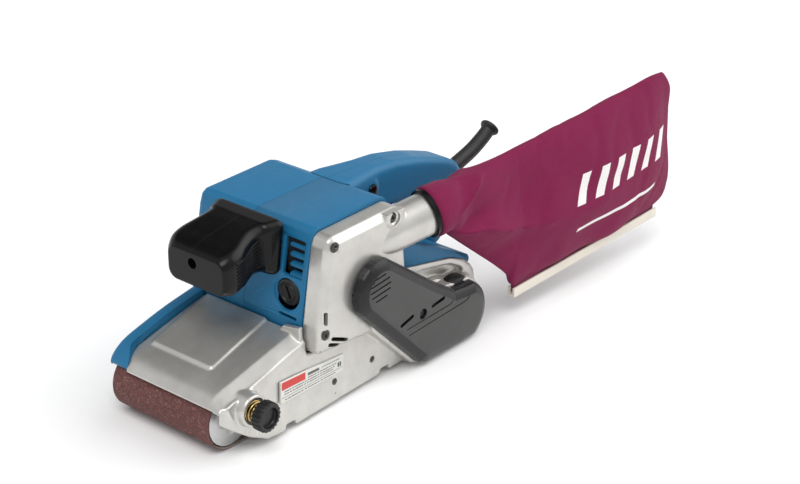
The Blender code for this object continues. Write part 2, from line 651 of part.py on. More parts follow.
def handle():
    """Two half shells that meet on the middle plane."""
    for side, sign in (("near", -1), ("far", 1)):
        half = prism("handle_" + side, HANDLE, -16, 16)
        bevel(half, 6.0, 2, 60)
        if side == "near":
            join(half, rod_y("lock_collar", 79, 128, 8.0, -18, -14, 24, 1.0))
        away = (-0.15, 30) if side == "near" else (-30, 0.15)
        cut(half, box("handle_split", (40, away[0], 30), (220, away[1], 170)),
            box("switch_space", (72, -10, 112), (126, 10, 138)),
            box("trigger_slot", (84, -8.3, 95), (118.8, 8.3, 118)),
            rod("guard_socket", (196, 0, 100), (27, 0, 7), 7.0, -14, 18, 24))
        if side == "near":
            cut(half, rod_y("lock_hole", 79, 128, 5.3, -25, -5, 24))
        place(half, PLASTIC_BLUE)


def controls():
    place(box("switch_block", (88, -9.5, 124.5), (124, 9.5, 137)), BLACK_MATTE)
    outline = [(85, 118), (86, 104), (92, 100), (104, 98.5), (113, 98), (115.5, 101), (115.5, 118)]
    place(prism("trigger", outline, -7.7, 7.7), BLACK_MATTE)
    place(rod_y("lock_button", 79, 128, 5.0, -20.5, -13, 24, 0.8), BLACK_MATTE)


GUARD_PATH = [(184, 0, 97), (196, 0, 100), (212, 0, 104), (228, 0, 108.7), (242, 0, 115),
              (252, 0, 121)]


def cord_guard():
    path = smooth_path(GUARD_PATH, 2)
    guard = tube("cord_guard", path, 6.5, 3)
    end = Vector(GUARD_PATH[-1])
    along = (end - Vector(GUARD_PATH[-2])).normalized()
    join(guard, turned("guard_lip", [(0, 1.5), (7, 1.5), (8.6, 0), (7, -2.5), (0, -2.5)], end,
                       along, 20))
    cut(guard, rod("guard_mouth", end, along, 4.8, -16, 4, 20))
    place(guard, RUBBER)


def front_grip():
    def face(z):
        return -44.5 + min(max(z, 74), 140) * 0.1917 - 14.19 - 0.9

    flange = (-30, 38, 109, 146.5)
    rows = [(lambda z: face(z), *flange, 6), (lambda z: face(z) - 4.5, *flange, 6)]
    for x, y_low, y_high, z_low, z_high, corner in (
            (-47, -24, 31, 113, 146, 9), (-60, -24, 33, 108, 144, 11), (-72, -29, 36, 103, 142.5, 12),
            (-84, -33, 34, 101, 140.5, 12), (-94, -33, 29, 103, 138, 11), (-99.5, -28, 22, 108, 134, 9)):
        rows.append((lambda z, x=x: x, y_low, y_high, z_low, z_high, corner))
    grip = loft("front_grip", [rounded_section(*row) for row in rows])
    cut(grip, rod("grip_screw_hole", (0, 0, 127), (1, 0, 0), 4.2, -110, -62, 20))
    place(grip, BLACK_GLOSS)


# ---------------------------------------------------------------- dust bag
def bag_frame():
    along = Vector((math.cos(BAG_YAW), math.sin(BAG_YAW), 0))
    across = Vector((-math.sin(BAG_YAW), math.cos(BAG_YAW), 0))
    return along, across


def bag_point(distance, side, z):
    along, across = bag_frame()
    place_mm = NOZZLE_MOUTH + along * distance + across * side
    return (place_mm.x, place_mm.y, z)


BAG_STATIONS = [            # distance behind the mouth, lowest z, highest z, half thickness
    (14, 106, 146, 19), (34, 98, 146, 20), (56, 87, 147.5, 19), (74, 60, 149, 18),
    (92, 30.5, 150.5, 16), (120, 31, 152.5, 19), (160, 34, 156, 21), (200, 37, 160, 20),
    (240, 40.5, 164.5, 15), (268, 43, 167, 9), (280, 58, 140, 5), (286, 78, 112, 2)]


def dust_bag():
    direction = nozzle_direction()
    place(turned("bag_ring", [(17.4, 6), (19.6, 6), (19.6, -4), (17.4, -4)], NOZZLE_MOUTH,
                 direction, 32), BLACK_MATTE)
    sections = []
    for distance, low, high, half in BAG_STATIONS:
        ring = []
        for i in range(16):
            angle = 2 * math.pi * i / 16
            z = (low + high) / 2 + (high - low) / 2 * math.sin(angle)
            ring.append(bag_point(distance, half * math.cos(angle), z))
        sections.append(ring)
    place(loft("dust_bag", sections), FABRIC)


def bag_clip():
    """A U rail that closes the bag's lower hem."""
    half, height, slot, depth = 3.6, 9.0, 1.6, 6.0
    u_shape = [(-half, -height), (half, -height), (half, 0), (slot, 0), (slot, -depth),
               (-slot, -depth), (-slot, 0), (-half, 0)]
    ends = []
    for distance, z in (CLIP_START, CLIP_END):
        ends.append([bag_point(distance, side, z + drop + 4.0) for side, drop in u_shape])
    place(loft("bag_clip", ends), IVORY)


def label_plate():
    corners = [(-79, 43), (-82, 27), (-13.5, 26.5), (-11, 38.8)]
    plate = prism("label_plate", corners, -0.4, 0.4)
    for vert in plate.data.vertices:
        x, z = vert.co.x / MM, vert.co.z / MM
        vert.co.y += (draft(x, z) - 3.0) * MM
    place(plate, PAPER)


sanding_belt()
front_roller()
roller_fork()
tension_carriage()
drive_roller()
platen()
base_frame()
tension_lever()
front_skirt()
tracking_knob()
gear_train()
timing_belt()
armature()
stator()
brushes()
gear_bulkhead()
motor_housing()
fan_housing()
gear_cover()
cover_screws()
belt_cover()
rear_cover()
handle()
controls()
cord_guard()
front_grip()
dust_bag()
bag_clip()
label_plate()
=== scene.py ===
# Looks of the handheld belt sander.  Sizes are millimetres; MM turns them into metres.
import math

import bmesh
import bpy
from mathutils import Matrix, Vector, noise
from mathutils.bvhtree import BVHTree


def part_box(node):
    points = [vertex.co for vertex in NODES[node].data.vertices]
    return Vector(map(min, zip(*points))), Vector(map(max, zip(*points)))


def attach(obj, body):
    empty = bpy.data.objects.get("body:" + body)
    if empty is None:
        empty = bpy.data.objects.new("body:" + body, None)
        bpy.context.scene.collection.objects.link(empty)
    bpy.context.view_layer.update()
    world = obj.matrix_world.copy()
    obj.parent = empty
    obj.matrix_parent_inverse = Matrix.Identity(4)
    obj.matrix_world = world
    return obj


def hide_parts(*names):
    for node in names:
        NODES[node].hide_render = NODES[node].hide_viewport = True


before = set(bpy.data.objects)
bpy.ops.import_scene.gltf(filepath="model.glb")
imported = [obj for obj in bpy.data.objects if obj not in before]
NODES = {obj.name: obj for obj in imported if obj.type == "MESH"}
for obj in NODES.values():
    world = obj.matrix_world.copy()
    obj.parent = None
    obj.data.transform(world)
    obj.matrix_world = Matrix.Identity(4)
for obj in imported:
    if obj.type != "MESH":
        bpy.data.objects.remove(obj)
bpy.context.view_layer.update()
MM = 0.001


# ---- places read from the frame
def low(node):
    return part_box(node)[0] / MM


def high(node):
    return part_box(node)[1] / MM


def middle(node):
    return (low(node) + high(node)) / 2


ROLLER_X = middle("drive_roller").x
BELT_R = high("sanding_belt").z / 2
BELT_HALF = high("sanding_belt").y
COVER_FACE = low("gear_cover_screw_1").y - 0.2
COVER_BACK = low("motor_housing").y
BELT_COVER_FACE = low("belt_cover").y
BELT_COVER_BACK = high("belt_cover").y
FAR_FACE = high("fan_housing").y
SEAM_Y = high("motor_housing").y
KNOB = middle("tracking_knob")
GEAR = middle("small_pulley")
NOZZLE_MOUTH = Vector((79.0, -74.0, 126.0))
NOZZLE_ALONG = Vector((0.93359, -0.30334, 0.19081))
NOZZLE_R, NOZZLE_BORE_R = 17.0, 14.5
BAG_YAW = math.radians(-6.0)
BAG_ALONG = Vector((math.cos(BAG_YAW), math.sin(BAG_YAW), 0))
BAG_ACROSS = Vector((-math.sin(BAG_YAW), math.cos(BAG_YAW), 0))


# ---- materials
def new_node(tree, kind, **settings):
    node = tree.nodes.new(kind)
    for key, value in settings.items():
        setattr(node, key, value)
    return node


class Nodes:
    """Short calls for building one material's node tree."""

    def __init__(self, name):
        self.material = bpy.data.materials.new(name)
        self.material.use_nodes = True
        self.tree = self.material.node_tree
        self.shader = self.tree.nodes["Principled BSDF"]
        self.place = self.add("ShaderNodeTexCoord").outputs["Object"]

    def add(self, kind, **settings):
        return new_node(self.tree, kind, **settings)

    def link(self, source, socket):
        if isinstance(source, (int, float)):
            socket.default_value = source
        else:
            self.tree.links.new(source, socket)

    def math(self, operation, *values):
        node = self.add("ShaderNodeMath", operation=operation)
        for socket, value in zip(node.inputs, values):
            self.link(value, socket)
        return node.outputs[0]

    def span(self, value, from_low, from_high, to_low, to_high):
        node = self.add("ShaderNodeMapRange")
        for socket, number in zip(node.inputs, (value, from_low, from_high, to_low, to_high)):
            self.link(number, socket)
        return node.outputs[0]

    def noise(self, scale, detail=2.0, roughness=0.5, stretch=None):
        place = self.place
        if stretch:
            mapping = self.add("ShaderNodeMapping")
            mapping.inputs["Scale"].default_value = stretch
            self.tree.links.new(place, mapping.inputs["Vector"])
            place = mapping.outputs["Vector"]
        node = self.add("ShaderNodeTexNoise")
        for key, value in (("Scale", scale), ("Detail", detail), ("Roughness", roughness)):
            node.inputs[key].default_value = value
        self.tree.links.new(place, node.inputs["Vector"])
        return node.outputs["Fac"]

    def cells(self, scale):
        node = self.add("ShaderNodeTexVoronoi")
        node.inputs["Scale"].default_value = scale
        self.tree.links.new(self.place, node.inputs["Vector"])
        return node.outputs["Distance"], node.outputs["Color"]

    def mix(self, factor, first, second):
        node = self.add("ShaderNodeMix", data_type="RGBA")
        self.link(factor, node.inputs["Factor"])
        for socket, colour in ((node.inputs["A"], first), (node.inputs["B"], second)):
            if isinstance(colour, tuple):
                socket.default_value = (*colour, 1.0)
            else:
                self.tree.links.new(colour, socket)
        return node.outputs["Result"]

    def bump(self, height, distance, strength=1.0):
        node = self.add("ShaderNodeBump")
        node.inputs["Strength"].default_value = strength
        node.inputs["Distance"].default_value = distance * MM
        self.link(height, node.inputs["Height"])
        return node.outputs["Normal"]

    def set(self, **inputs):
        for key, value in inputs.items():
            socket = self.shader.inputs[key.replace("_", " ")]
            if isinstance(value, tuple):
                socket.default_value = (*value, 1.0)
            elif isinstance(value, (int, float)):
                socket.default_value = value
            else:
                self.tree.links.new(value, socket)
        return self.material


def scaled(colour, factor):
    return tuple(min(1.0, value * factor) for value in colour)


def moulded(name, colour, roughness, mottle=0.10, grain=0.03, grain_scale=2600, spread=0.08, **more):
    """Moulded plastic or rubber: a faint mottle, a spark-eroded grain and rubbed patches."""
    n = Nodes(name)
    soft, fine = n.noise(38, 3, 0.6), n.noise(grain_scale, 2, 0.6)
    rubbed = n.noise(90, 4, 0.65)
    base = n.mix(n.math("MULTIPLY_ADD", soft, 0.7, n.math("MULTIPLY", fine, 0.3)),
                 scaled(colour, 1 - mottle), scaled(colour, 1 + mottle))
    return n.set(Base_Color=base, Normal=n.bump(fine, grain, 0.7),
                 Roughness=n.span(rubbed, 0.3, 0.7, roughness - spread / 2, roughness + spread / 2),
                 **more)


def painted(name, colour, roughness, metallic):
    """Silver paint on a casting: metal flakes, orange peel and faint handling marks."""
    n = Nodes(name)
    _, flake = n.cells(3800)
    glint = n.math("MULTIPLY_ADD", flake, 0.12, n.math("MULTIPLY", n.noise(60, 4, 0.6), 0.88))
    base = n.mix(n.span(glint, 0.3, 0.7, 0.0, 1.0), scaled(colour, 0.90), scaled(colour, 1.08))
    peel = n.bump(n.noise(420, 2, 0.5), 0.02, 0.35)
    return n.set(Base_Color=base, Metallic=metallic, Normal=peel,
                 Roughness=n.span(n.noise(26, 5, 0.6), 0.3, 0.7, roughness - 0.04, roughness + 0.06))


def machined(name, colour, roughness, stretch=(60, 900, 60)):
    """Turned or ground metal with fine tool marks along one direction."""
    n = Nodes(name)
    marks = n.noise(6, 4, 0.7, stretch)
    base = n.mix(marks, scaled(colour, 0.82), scaled(colour, 1.1))
    return n.set(Base_Color=base, Metallic=1.0, Normal=n.bump(marks, 0.02, 0.4),
                 Roughness=n.span(marks, 0.3, 0.7, roughness - 0.08, roughness + 0.1))


def abrasive():
    """Coated cloth: brown grains of several sizes with bright facets and dark gaps."""
    n = Nodes("abrasive_grit")
    distance, facet = n.cells(1500)
    coarse = n.noise(700, 4, 0.75)
    tone = n.mix(n.span(coarse, 0.35, 0.65, 0.0, 1.0), (0.060, 0.020, 0.018), (0.185, 0.068, 0.062))
    glint = n.math("GREATER_THAN", n.math("MULTIPLY", facet, n.noise(260, 2)), 0.42)
    base = n.mix(n.math("MULTIPLY", glint, 0.35), tone, (0.42, 0.25, 0.22))
    return n.set(Base_Color=base, Roughness=n.span(coarse, 0.3, 0.7, 0.72, 0.92),
                 Normal=n.bump(n.math("ADD", distance, coarse), 0.25, 0.9))


def woven(name, colour, pitch=0.55):
    """Plain weave with threads along the bag and across it, as sines of the place."""
    n = Nodes(name)
    parts = n.add("ShaderNodeSeparateXYZ")
    n.tree.links.new(n.place, parts.inputs[0])
    x, y, z = parts.outputs
    s = n.math("ADD", n.math("MULTIPLY", x, BAG_ALONG.x), n.math("MULTIPLY", y, BAG_ALONG.y))
    turn = 2 * math.pi / (pitch * MM)
    warp = n.math("SINE", n.math("MULTIPLY", s, turn))
    weft = n.math("SINE", n.math("MULTIPLY", z, turn))
    weave = n.math("MULTIPLY_ADD", n.math("MULTIPLY", warp, weft), 0.5, 0.5)
    slub = n.noise(420, 4, 0.7)
    faded = n.noise(22, 3, 0.6)
    base = n.mix(n.math("MULTIPLY_ADD", weave, 0.4, n.math("MULTIPLY", slub, 0.6)),
                 scaled(colour, 0.80), scaled(colour, 1.16))
    base = n.mix(n.math("MULTIPLY", faded, 0.22), base, scaled(colour, 1.25))
    return n, base, s, z, n.bump(n.math("MULTIPLY_ADD", slub, 0.5, weave), 0.10, 0.6)


def cloth(n, colour, relief, **more):
    return n.set(Base_Color=colour, Normal=relief, Roughness=n.span(n.noise(300), 0.3, 0.7, 0.78, 0.9),
                 Sheen_Weight=0.05, Sheen_Roughness=0.5, **more)


def fabric():
    """Burgundy bag cloth with a plain slanted-stripe print on its sides."""
    n, base, s, z, relief = woven("bag_cloth", (0.185, 0.010, 0.056))
    print_s, print_z = 0.238, 0.088         # the print's front lower corner, metres
    pitch, share = 0.021, 0.46              # from bar to bar, and how much of that is ink
    lean = n.math("MULTIPLY", n.math("SUBTRACT", z, print_z), 0.32)
    across = n.math("SUBTRACT", n.math("SUBTRACT", s, print_s), lean)
    rise = n.math("SUBTRACT", z, n.math("MULTIPLY_ADD", across, 0.055, print_z))

    def band(value, start, end):
        return n.math("MULTIPLY", n.math("GREATER_THAN", value, start), n.math("LESS_THAN", value, end))

    bars = n.math("LESS_THAN", n.math("FRACT", n.math("DIVIDE", across, pitch)), share)
    block = n.math("MULTIPLY", bars, n.math("MULTIPLY", band(across, 0.0, 0.1245), band(rise, 0.0, 0.026)))
    line = n.math("MULTIPLY", band(across, 0.012, 0.118), band(rise, -0.026, -0.0225))
    ink = n.math("MAXIMUM", block, line)
    worn = n.math("MULTIPLY", ink, n.span(n.noise(900, 3, 0.7), 0.3, 0.5, 0.82, 0.97))
    colour = n.mix(worn, base, (0.86, 0.84, 0.83))
    return cloth(n, colour, relief, Specular_IOR_Level=0.18)


def plain_cloth():
    n, base, _, _, relief = woven("hem_cloth", (0.150, 0.013, 0.052))
    return cloth(n, base, relief)


BLUE = moulded("blue_shell", (0.011, 0.145, 0.300), 0.46, Specular_IOR_Level=0.35)
SILVER = painted("silver_coat", (0.60, 0.587, 0.558), 0.31, 0.70)
GLOSS = moulded("black_gloss_shell", (0.0035, 0.0035, 0.0040), 0.24, 0.3, 0.01, 1400,
                Specular_IOR_Level=0.22)
COVER_BLACK = moulded("black_cover_shell", (0.048, 0.051, 0.048), 0.46, 0.10, 0.04, 1900,
                      Specular_IOR_Level=0.4)
# The rim colour is much darker than the cover face colour: painted shade, standing for the dark that the
# sloping rim reflects.
SHADED_RIM_BLACK = moulded("black_cover_rim_painted_shade", (0.010, 0.010, 0.011), 0.30, 0.15, 0.02, 1900,
                    Specular_IOR_Level=0.35)
MATTE = moulded("black_matte_shell", (0.010, 0.010, 0.011), 0.36, 0.15, 0.03, 1900,
                Specular_IOR_Level=0.35)
RUBBER = moulded("soft_rubber", (0.014, 0.014, 0.015), 0.50, 0.2, 0.03, 1200)
IVORY = moulded("ivory_rail", (0.74, 0.69, 0.60), 0.40, 0.05, 0.02, 1400)
CARBON = moulded("carbon_block", (0.03, 0.03, 0.033), 0.6, 0.2, 0.04, 900)
GRAPHITE = moulded("graphite_pad", (0.05, 0.05, 0.052), 0.55, 0.25, 0.05, 700)
HOLLOW = moulded("shadowed_hollow", (0.004, 0.004, 0.004), 0.8, 0.2, 0.02, 900)
STEEL = machined("ground_steel", (0.56, 0.56, 0.57), 0.30)
ZINC = machined("plated_screw", (0.085, 0.082, 0.076), 0.34, (500, 500, 500))
ALUMINIUM = machined("turned_aluminium", (0.66, 0.66, 0.66), 0.36)
COPPER = machined("copper_winding", (0.60, 0.25, 0.12), 0.38, (90, 90, 1400))
BRASS = machined("brass_part", (0.62, 0.44, 0.18), 0.34)
GRIT = abrasive()
BACKING = moulded("belt_backing", (0.42, 0.38, 0.33), 0.75, 0.12, 0.08, 1100)
CLOTH = fabric()
HEM = plain_cloth()
FOIL = moulded("label_foil_face", (0.66, 0.66, 0.62), 0.38, 0.04, 0.01, 900)
INK = moulded("label_ink", (0.10, 0.10, 0.10), 0.5, 0.1, 0.01, 900)
RED = moulded("label_red", (0.55, 0.05, 0.04), 0.5, 0.1, 0.01, 900)

CARRIED_OVER = {
    ALUMINIUM: ["front_roller", "drive_roller", "small_pulley", "large_pulley", "gear_bulkhead"],
    STEEL: ["front_axle", "roller_fork", "tension_carriage", "tension_spring", "tension_lever",
            "lever_pin", "drive_bearing_near", "drive_bearing_far", "platen_plate", "armature_shaft",
            "armature_core", "armature_pinion", "reduction_gear", "intermediate_shaft",
            "gear_bearing_inner", "gear_bearing_outer", "commutator_bearing", "fan_bearing"],
    COPPER: ["stator", "commutator"],
    BRASS: ["brush_holder_front", "brush_holder_rear"],
    CARBON: ["carbon_brush_front", "carbon_brush_rear"],
    GRAPHITE: ["platen_pad"],
    RUBBER: ["drive_roller_tyre", "timing_belt"],
    MATTE: ["cooling_fan", "switch_block"],
}
for material, names in CARRIED_OVER.items():
    for node_name in names:
        mesh = NODES[node_name].data
        mesh.materials.clear()
        mesh.materials.append(material)


# ---- modelling tools
def add_object(name, data):
    obj = bpy.data.objects.new(name, data)
    bpy.context.scene.collection.objects.link(obj)
    return obj


def mesh_object(name, bm):
    mesh = bpy.data.meshes.new(name)
    bm.to_mesh(mesh)
    bm.free()
    return add_object(name, mesh)


def applied(obj):
    """The object with its modifiers made part of its mesh."""
    bpy.context.view_layer.update()
    graph = bpy.context.evaluated_depsgraph_get()
    mesh = bpy.data.meshes.new_from_object(obj.evaluated_get(graph))
    obj.modifiers.clear()
    obj.data = mesh
    return obj


def combine(target, operation, *others):
    for other in others:
        modifier = target.modifiers.new(operation, "BOOLEAN")
        modifier.operation = operation
        modifier.solver = "EXACT"
        modifier.object = other
        other.hide_render = True
    applied(target)
    for other in others:
        bpy.data.objects.remove(other, do_unlink=True)
    return target


def cut(target, *cutters):
    return combine(target, "DIFFERENCE", *cutters)


def join(target, *others):
    return combine(target, "UNION", *others)


def flat_faces(obj, angle=0.6):
    """Weld a mesh and make each flat stretch one face, so that its edges can be rounded."""
    bm = bmesh.new()
    bm.from_mesh(obj.data)
    bmesh.ops.remove_doubles(bm, verts=bm.verts, dist=2e-5)
    bmesh.ops.dissolve_limit(bm, angle_limit=math.radians(angle), verts=bm.verts, edges=bm.edges)
    bm.to_mesh(obj.data)
    bm.free()
    return obj


def rounded(obj, width, segments=3, angle=32.0):
    modifier = obj.modifiers.new("round", "BEVEL")
    modifier.width = width * MM
    modifier.segments = segments
    modifier.limit_method = "ANGLE"
    modifier.angle_limit = math.radians(angle)
    modifier.harden_normals = True
    modifier.miter_outer = "MITER_ARC"
    obj.data.shade_smooth()
    return applied(obj)


def remeshed(obj, voxel, passes, factor=0.5):
    """Even out a solid so that its edges and joints melt together like a casting."""
    modifier = obj.modifiers.new("even", "REMESH")
    modifier.mode = "VOXEL"
    modifier.voxel_size = voxel * MM
    smooth = obj.modifiers.new("melt", "SMOOTH")
    smooth.iterations = passes
    smooth.factor = factor
    return applied(obj)


def finish_piece(obj, body, material, slot, *nodes, sharp=32.0):
    obj.data.materials.clear()
    for item in material if isinstance(material, (list, tuple)) else (material,):
        obj.data.materials.append(item)
    obj.data.shade_smooth()
    if sharp:
        obj.data.set_sharp_from_angle(angle=math.radians(sharp))
    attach(obj, body)
    if nodes:
        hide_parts(*nodes)
    return obj


def to_space(u, v, along, axis):
    return {"y": (u, along, v), "z": (u, v, along), "x": (along, u, v)}[axis]


def loft(name, rings, caps=True):
    bm = bmesh.new()
    rows = [[bm.verts.new(Vector(point) * MM) for point in ring] for ring in rings]
    count = len(rows[0])
    for first, second in zip(rows, rows[1:]):
        for i in range(count):
            j = (i + 1) % count
            bm.faces.new((first[i], first[j], second[j], second[i]))
    if caps:
        bm.faces.new(rows[0][::-1])
        bm.faces.new(rows[-1])
    bmesh.ops.remove_doubles(bm, verts=bm.verts, dist=1e-6)
    bmesh.ops.recalc_face_normals(bm, faces=bm.faces)
    return mesh_object(name, bm)


def plate(name, outline, start, end, axis="y"):
    return loft(name, [[to_space(u, v, along, axis) for u, v in outline] for along in (start, end)])


def block(name, corner, opposite):
    (x0, y0, z0), (x1, y1, z1) = corner, opposite
    return plate(name, [(x0, z0), (x1, z0), (x1, z1), (x0, z1)], y0, y1)


def circle(steps):
    """The angles of even steps round a circle."""
    return [2 * math.pi * i / steps for i in range(steps)]


def turned(name, profile, origin, direction, steps=48):
    """Profile of (radius, distance) turned about a line; radius 0 closes an end."""
    turn = Vector((0, 0, 1)).rotation_difference(Vector(direction).normalized())
    bm = bmesh.new()
    rows = []
    for radius, along in profile:
        spots = [Vector((radius * math.cos(angle), radius * math.sin(angle), along))
                 for angle in (circle(steps) if radius > 0 else [0])]
        rows.append([bm.verts.new((Vector(origin) + turn @ spot) * MM) for spot in spots])
    if profile[0][0] > 0:
        rows.append(rows[0])
    for first, second in zip(rows, rows[1:]):
        for i in range(steps):
            j = (i + 1) % steps
            corners = [first[i % len(first)], first[j % len(first)],
                       second[j % len(second)], second[i % len(second)]]
            unique = list(dict.fromkeys(corners))
            if len(unique) > 2:
                bm.faces.new(unique)
    bmesh.ops.recalc_face_normals(bm, faces=bm.faces)
    return mesh_object(name, bm)


def turned_y(name, profile, x, z, steps=48):
    return turned(name, profile, (x, 0, z), (0, 1, 0), steps)


def rod(name, origin, direction, radius, start, end, steps=32, chamfer=0.0):
    profile = [(0, start), (radius, start), (radius, end), (0, end)]
    if chamfer:
        profile[1:3] = [(radius - chamfer, start), (radius, start + chamfer), (radius, end - chamfer),
                        (radius - chamfer, end)]
    return turned(name, profile, origin, direction, steps)


def rod_y(name, x, z, radius, start, end, steps=32, chamfer=0.0):
    return rod(name, (x, 0, z), (0, 1, 0), radius, start, end, steps, chamfer)


def frames_along(points):
    """A steady pair of side directions at each point of a path."""
    side = None
    for i, point in enumerate(points):
        ahead = points[min(i + 1, len(points) - 1)] - points[max(i - 1, 0)]
        ahead.normalize()
        if side is None:
            side = ahead.orthogonal().normalized()
        side = (side - ahead * side.dot(ahead)).normalized()
        yield point, side, ahead.cross(side)


def tube(name, points, radius, steps=12):
    """A round bar along a path; radius is one number or one for each point."""
    points = [Vector(point) for point in points]
    radii = radius if isinstance(radius, (list, tuple)) else [radius] * len(points)
    rings = []
    for (point, side, up), r in zip(frames_along(points), radii):
        rings.append([point + side * r * math.cos(angle) + up * r * math.sin(angle)
                      for angle in circle(steps)])
    return loft(name, rings)


def arc(x, z, radius, start, end, count):
    step = (end - start) / (count - 1)
    return [(x + radius * math.cos(math.radians(start + step * i)),
             z + radius * math.sin(math.radians(start + step * i))) for i in range(count)]


def stadium(x_low, x_high, z, radius, count=33):
    return arc(x_low, z, radius, 90, 270, count) + arc(x_high, z, radius, -90, 90, count)


def inset(points, distance):
    area = sum(a[0] * b[1] - b[0] * a[1] for a, b in zip(points, points[1:] + points[:1]))
    side = 1.0 if area > 0 else -1.0
    result = []
    for i, corner in enumerate(points):
        before = Vector(corner) - Vector(points[i - 1])
        after = Vector(points[(i + 1) % len(points)]) - Vector(corner)
        n1 = Vector((-before.y, before.x)).normalized() * side
        n2 = Vector((-after.y, after.x)).normalized() * side
        shift = (n1 + n2) / max(0.3, 1.0 + n1.dot(n2))
        result.append(tuple(Vector(corner) + shift * distance))
    return result


def fillet(points, radius, steps=5):
    """The outline with its corners rounded; radius is one number or one for each corner."""
    radii = radius if isinstance(radius, (list, tuple)) else [radius] * len(points)
    result = []
    for i, (corner, wanted) in enumerate(zip(points, radii)):
        corner = Vector(corner)
        back = Vector(points[i - 1]) - corner
        ahead = Vector(points[(i + 1) % len(points)]) - corner
        half = max(back.angle(ahead) / 2, 0.05)
        if wanted <= 0:
            result.append(tuple(corner))
            continue
        if half > math.radians(87):
            reach = min(0.5, 0.2 * min(back.length, ahead.length))
            for k in range(steps + 1):
                t = 2 * k / steps - 1
                way = ahead if t > 0 else back
                result.append(tuple(corner + way.normalized() * reach * abs(t)))
            continue
        reach = min(wanted / math.tan(half), 0.45 * min(back.length, ahead.length))
        used = reach * math.tan(half)
        centre = corner + (back.normalized() + ahead.normalized()).normalized() * used / math.sin(half)
        start = corner + back.normalized() * reach - centre
        end = corner + ahead.normalized() * reach - centre
        sweep = math.atan2(start.x * end.y - start.y * end.x, start.dot(end))
        for k in range(steps + 1):
            angle = sweep * k / steps
            result.append((centre.x + start.x * math.cos(angle) - start.y * math.sin(angle),
                           centre.y + start.x * math.sin(angle) + start.y * math.cos(angle)))
    return result


def smooth_path(points, per_span=8):
    """A Catmull-Rom curve through points of any size."""
    points = [Vector(point) for point in points]
    padded = [2 * points[0] - points[1]] + points + [2 * points[-1] - points[-2]]
    result = []
    for a, b, c, d in zip(padded, padded[1:], padded[2:], padded[3:]):
        for i in range(per_span):
            t = i / per_span
            result.append(0.5 * (2 * b + (c - a) * t + (2 * a - 5 * b + 4 * c - d) * t ** 2
                                 + (3 * b - a - 3 * c + d) * t ** 3))
    return result + [points[-1]]


def step_up(value, start, end):
    """0 before start, 1 after end, smooth between."""
    t = min(1.0, max(0.0, (value - start) / (end - start)))
    return t * t * (3 - 2 * t)


def stacked(name, outline, radius, levels, steps=5):
    """An outline lofted along Y; each level is (y, how far it is inset)."""
    rings = []
    for y, distance in levels:
        loop = fillet(inset(outline, distance), max(0.3, radius - distance * 0.5), steps)
        rings.append([(u, y, v) for u, v in loop])
    return loft(name, rings)


def slot_cutter(name, start, end, half, y_low, y_high):
    """A round-ended slot between two (x, z) points, along Y."""
    a, b = Vector(start), Vector(end)
    angle = math.degrees(math.atan2(b.y - a.y, b.x - a.x))
    outline = arc(*a, half, angle + 90, angle + 270, 9) + arc(*b, half, angle - 90, angle + 90, 9)
    return plate(name, outline, y_low, y_high)


# ---- belt
def sanding_belt():
    """The belt with its grit outside and pale cloth inside, edges slightly frayed round."""
    edge, thick = 0.25, 1.0
    side = [(BELT_HALF - edge, 0.0), (BELT_HALF, edge), (BELT_HALF, thick - edge), (BELT_HALF - edge, thick)]
    profile = [(-y, deep) for y, deep in side[::-1]] + side
    outer = stadium(-ROLLER_X, ROLLER_X, BELT_R, BELT_R, 49)
    inner = stadium(-ROLLER_X, ROLLER_X, BELT_R, BELT_R - thick, 49)
    rings = [[(xo + (xi - xo) * deep / thick, y, zo + (zi - zo) * deep / thick) for y, deep in profile]
             for (xo, zo), (xi, zi) in zip(outer, inner)]
    belt = loft("abrasive_belt", rings + [rings[0]], caps=False)
    finish_piece(belt, "frame", [GRIT, BACKING], "abrasive", "sanding_belt", sharp=40)
    for face in belt.data.polygons:
        x = min(max(face.center.x / MM, -ROLLER_X), ROLLER_X)
        outward = Vector((face.center.x / MM - x, 0, face.center.z / MM - BELT_R))
        if outward.length < BELT_R - thick * 0.55:
            face.material_index = 1


# ---- frame casting
WALL = [(-138, 41.5), (-137, 31), (-114, 14), (-97, 5), (-84, 4), (128, 4), (140, 10), (147, 24),
        (148, 40), (146, 50), (142, 56), (132, 64), (116, 71), (60.3, 83), (60.3, 40.7),
        (-46.5, 51.2), (-46.5, 62), (-115, 48), (-126, 45.5), (-134, 43.5)]
WALL_ROUND = [3, 6, 12, 8, 6, 8, 10, 12, 12, 6, 6, 12, 16, 1, 1, 0.5, 0.5, 6, 6, 4]
HOOD_TOP = [(-46.6, 67), (-70, 62.4), (-92, 57.8), (-110, 53.9), (-120, 51.8), (-128, 49.4),
            (-133.5, 46.6), (-137, 43.4), (-138.3, 41)]
HOOD_END = 44.0             # the hood's far edge
PANEL_RISE = 1.8


def draft(x, z):
    return -67.0 if x > 20 else -69.0 + 0.155 * (z - 4.0)


def hood_y(x, y):
    """The far edge of the hood bends towards the middle over the nose."""
    return y - 8.5 * step_up(-x, 122, 136) * step_up(y, 10, HOOD_END)


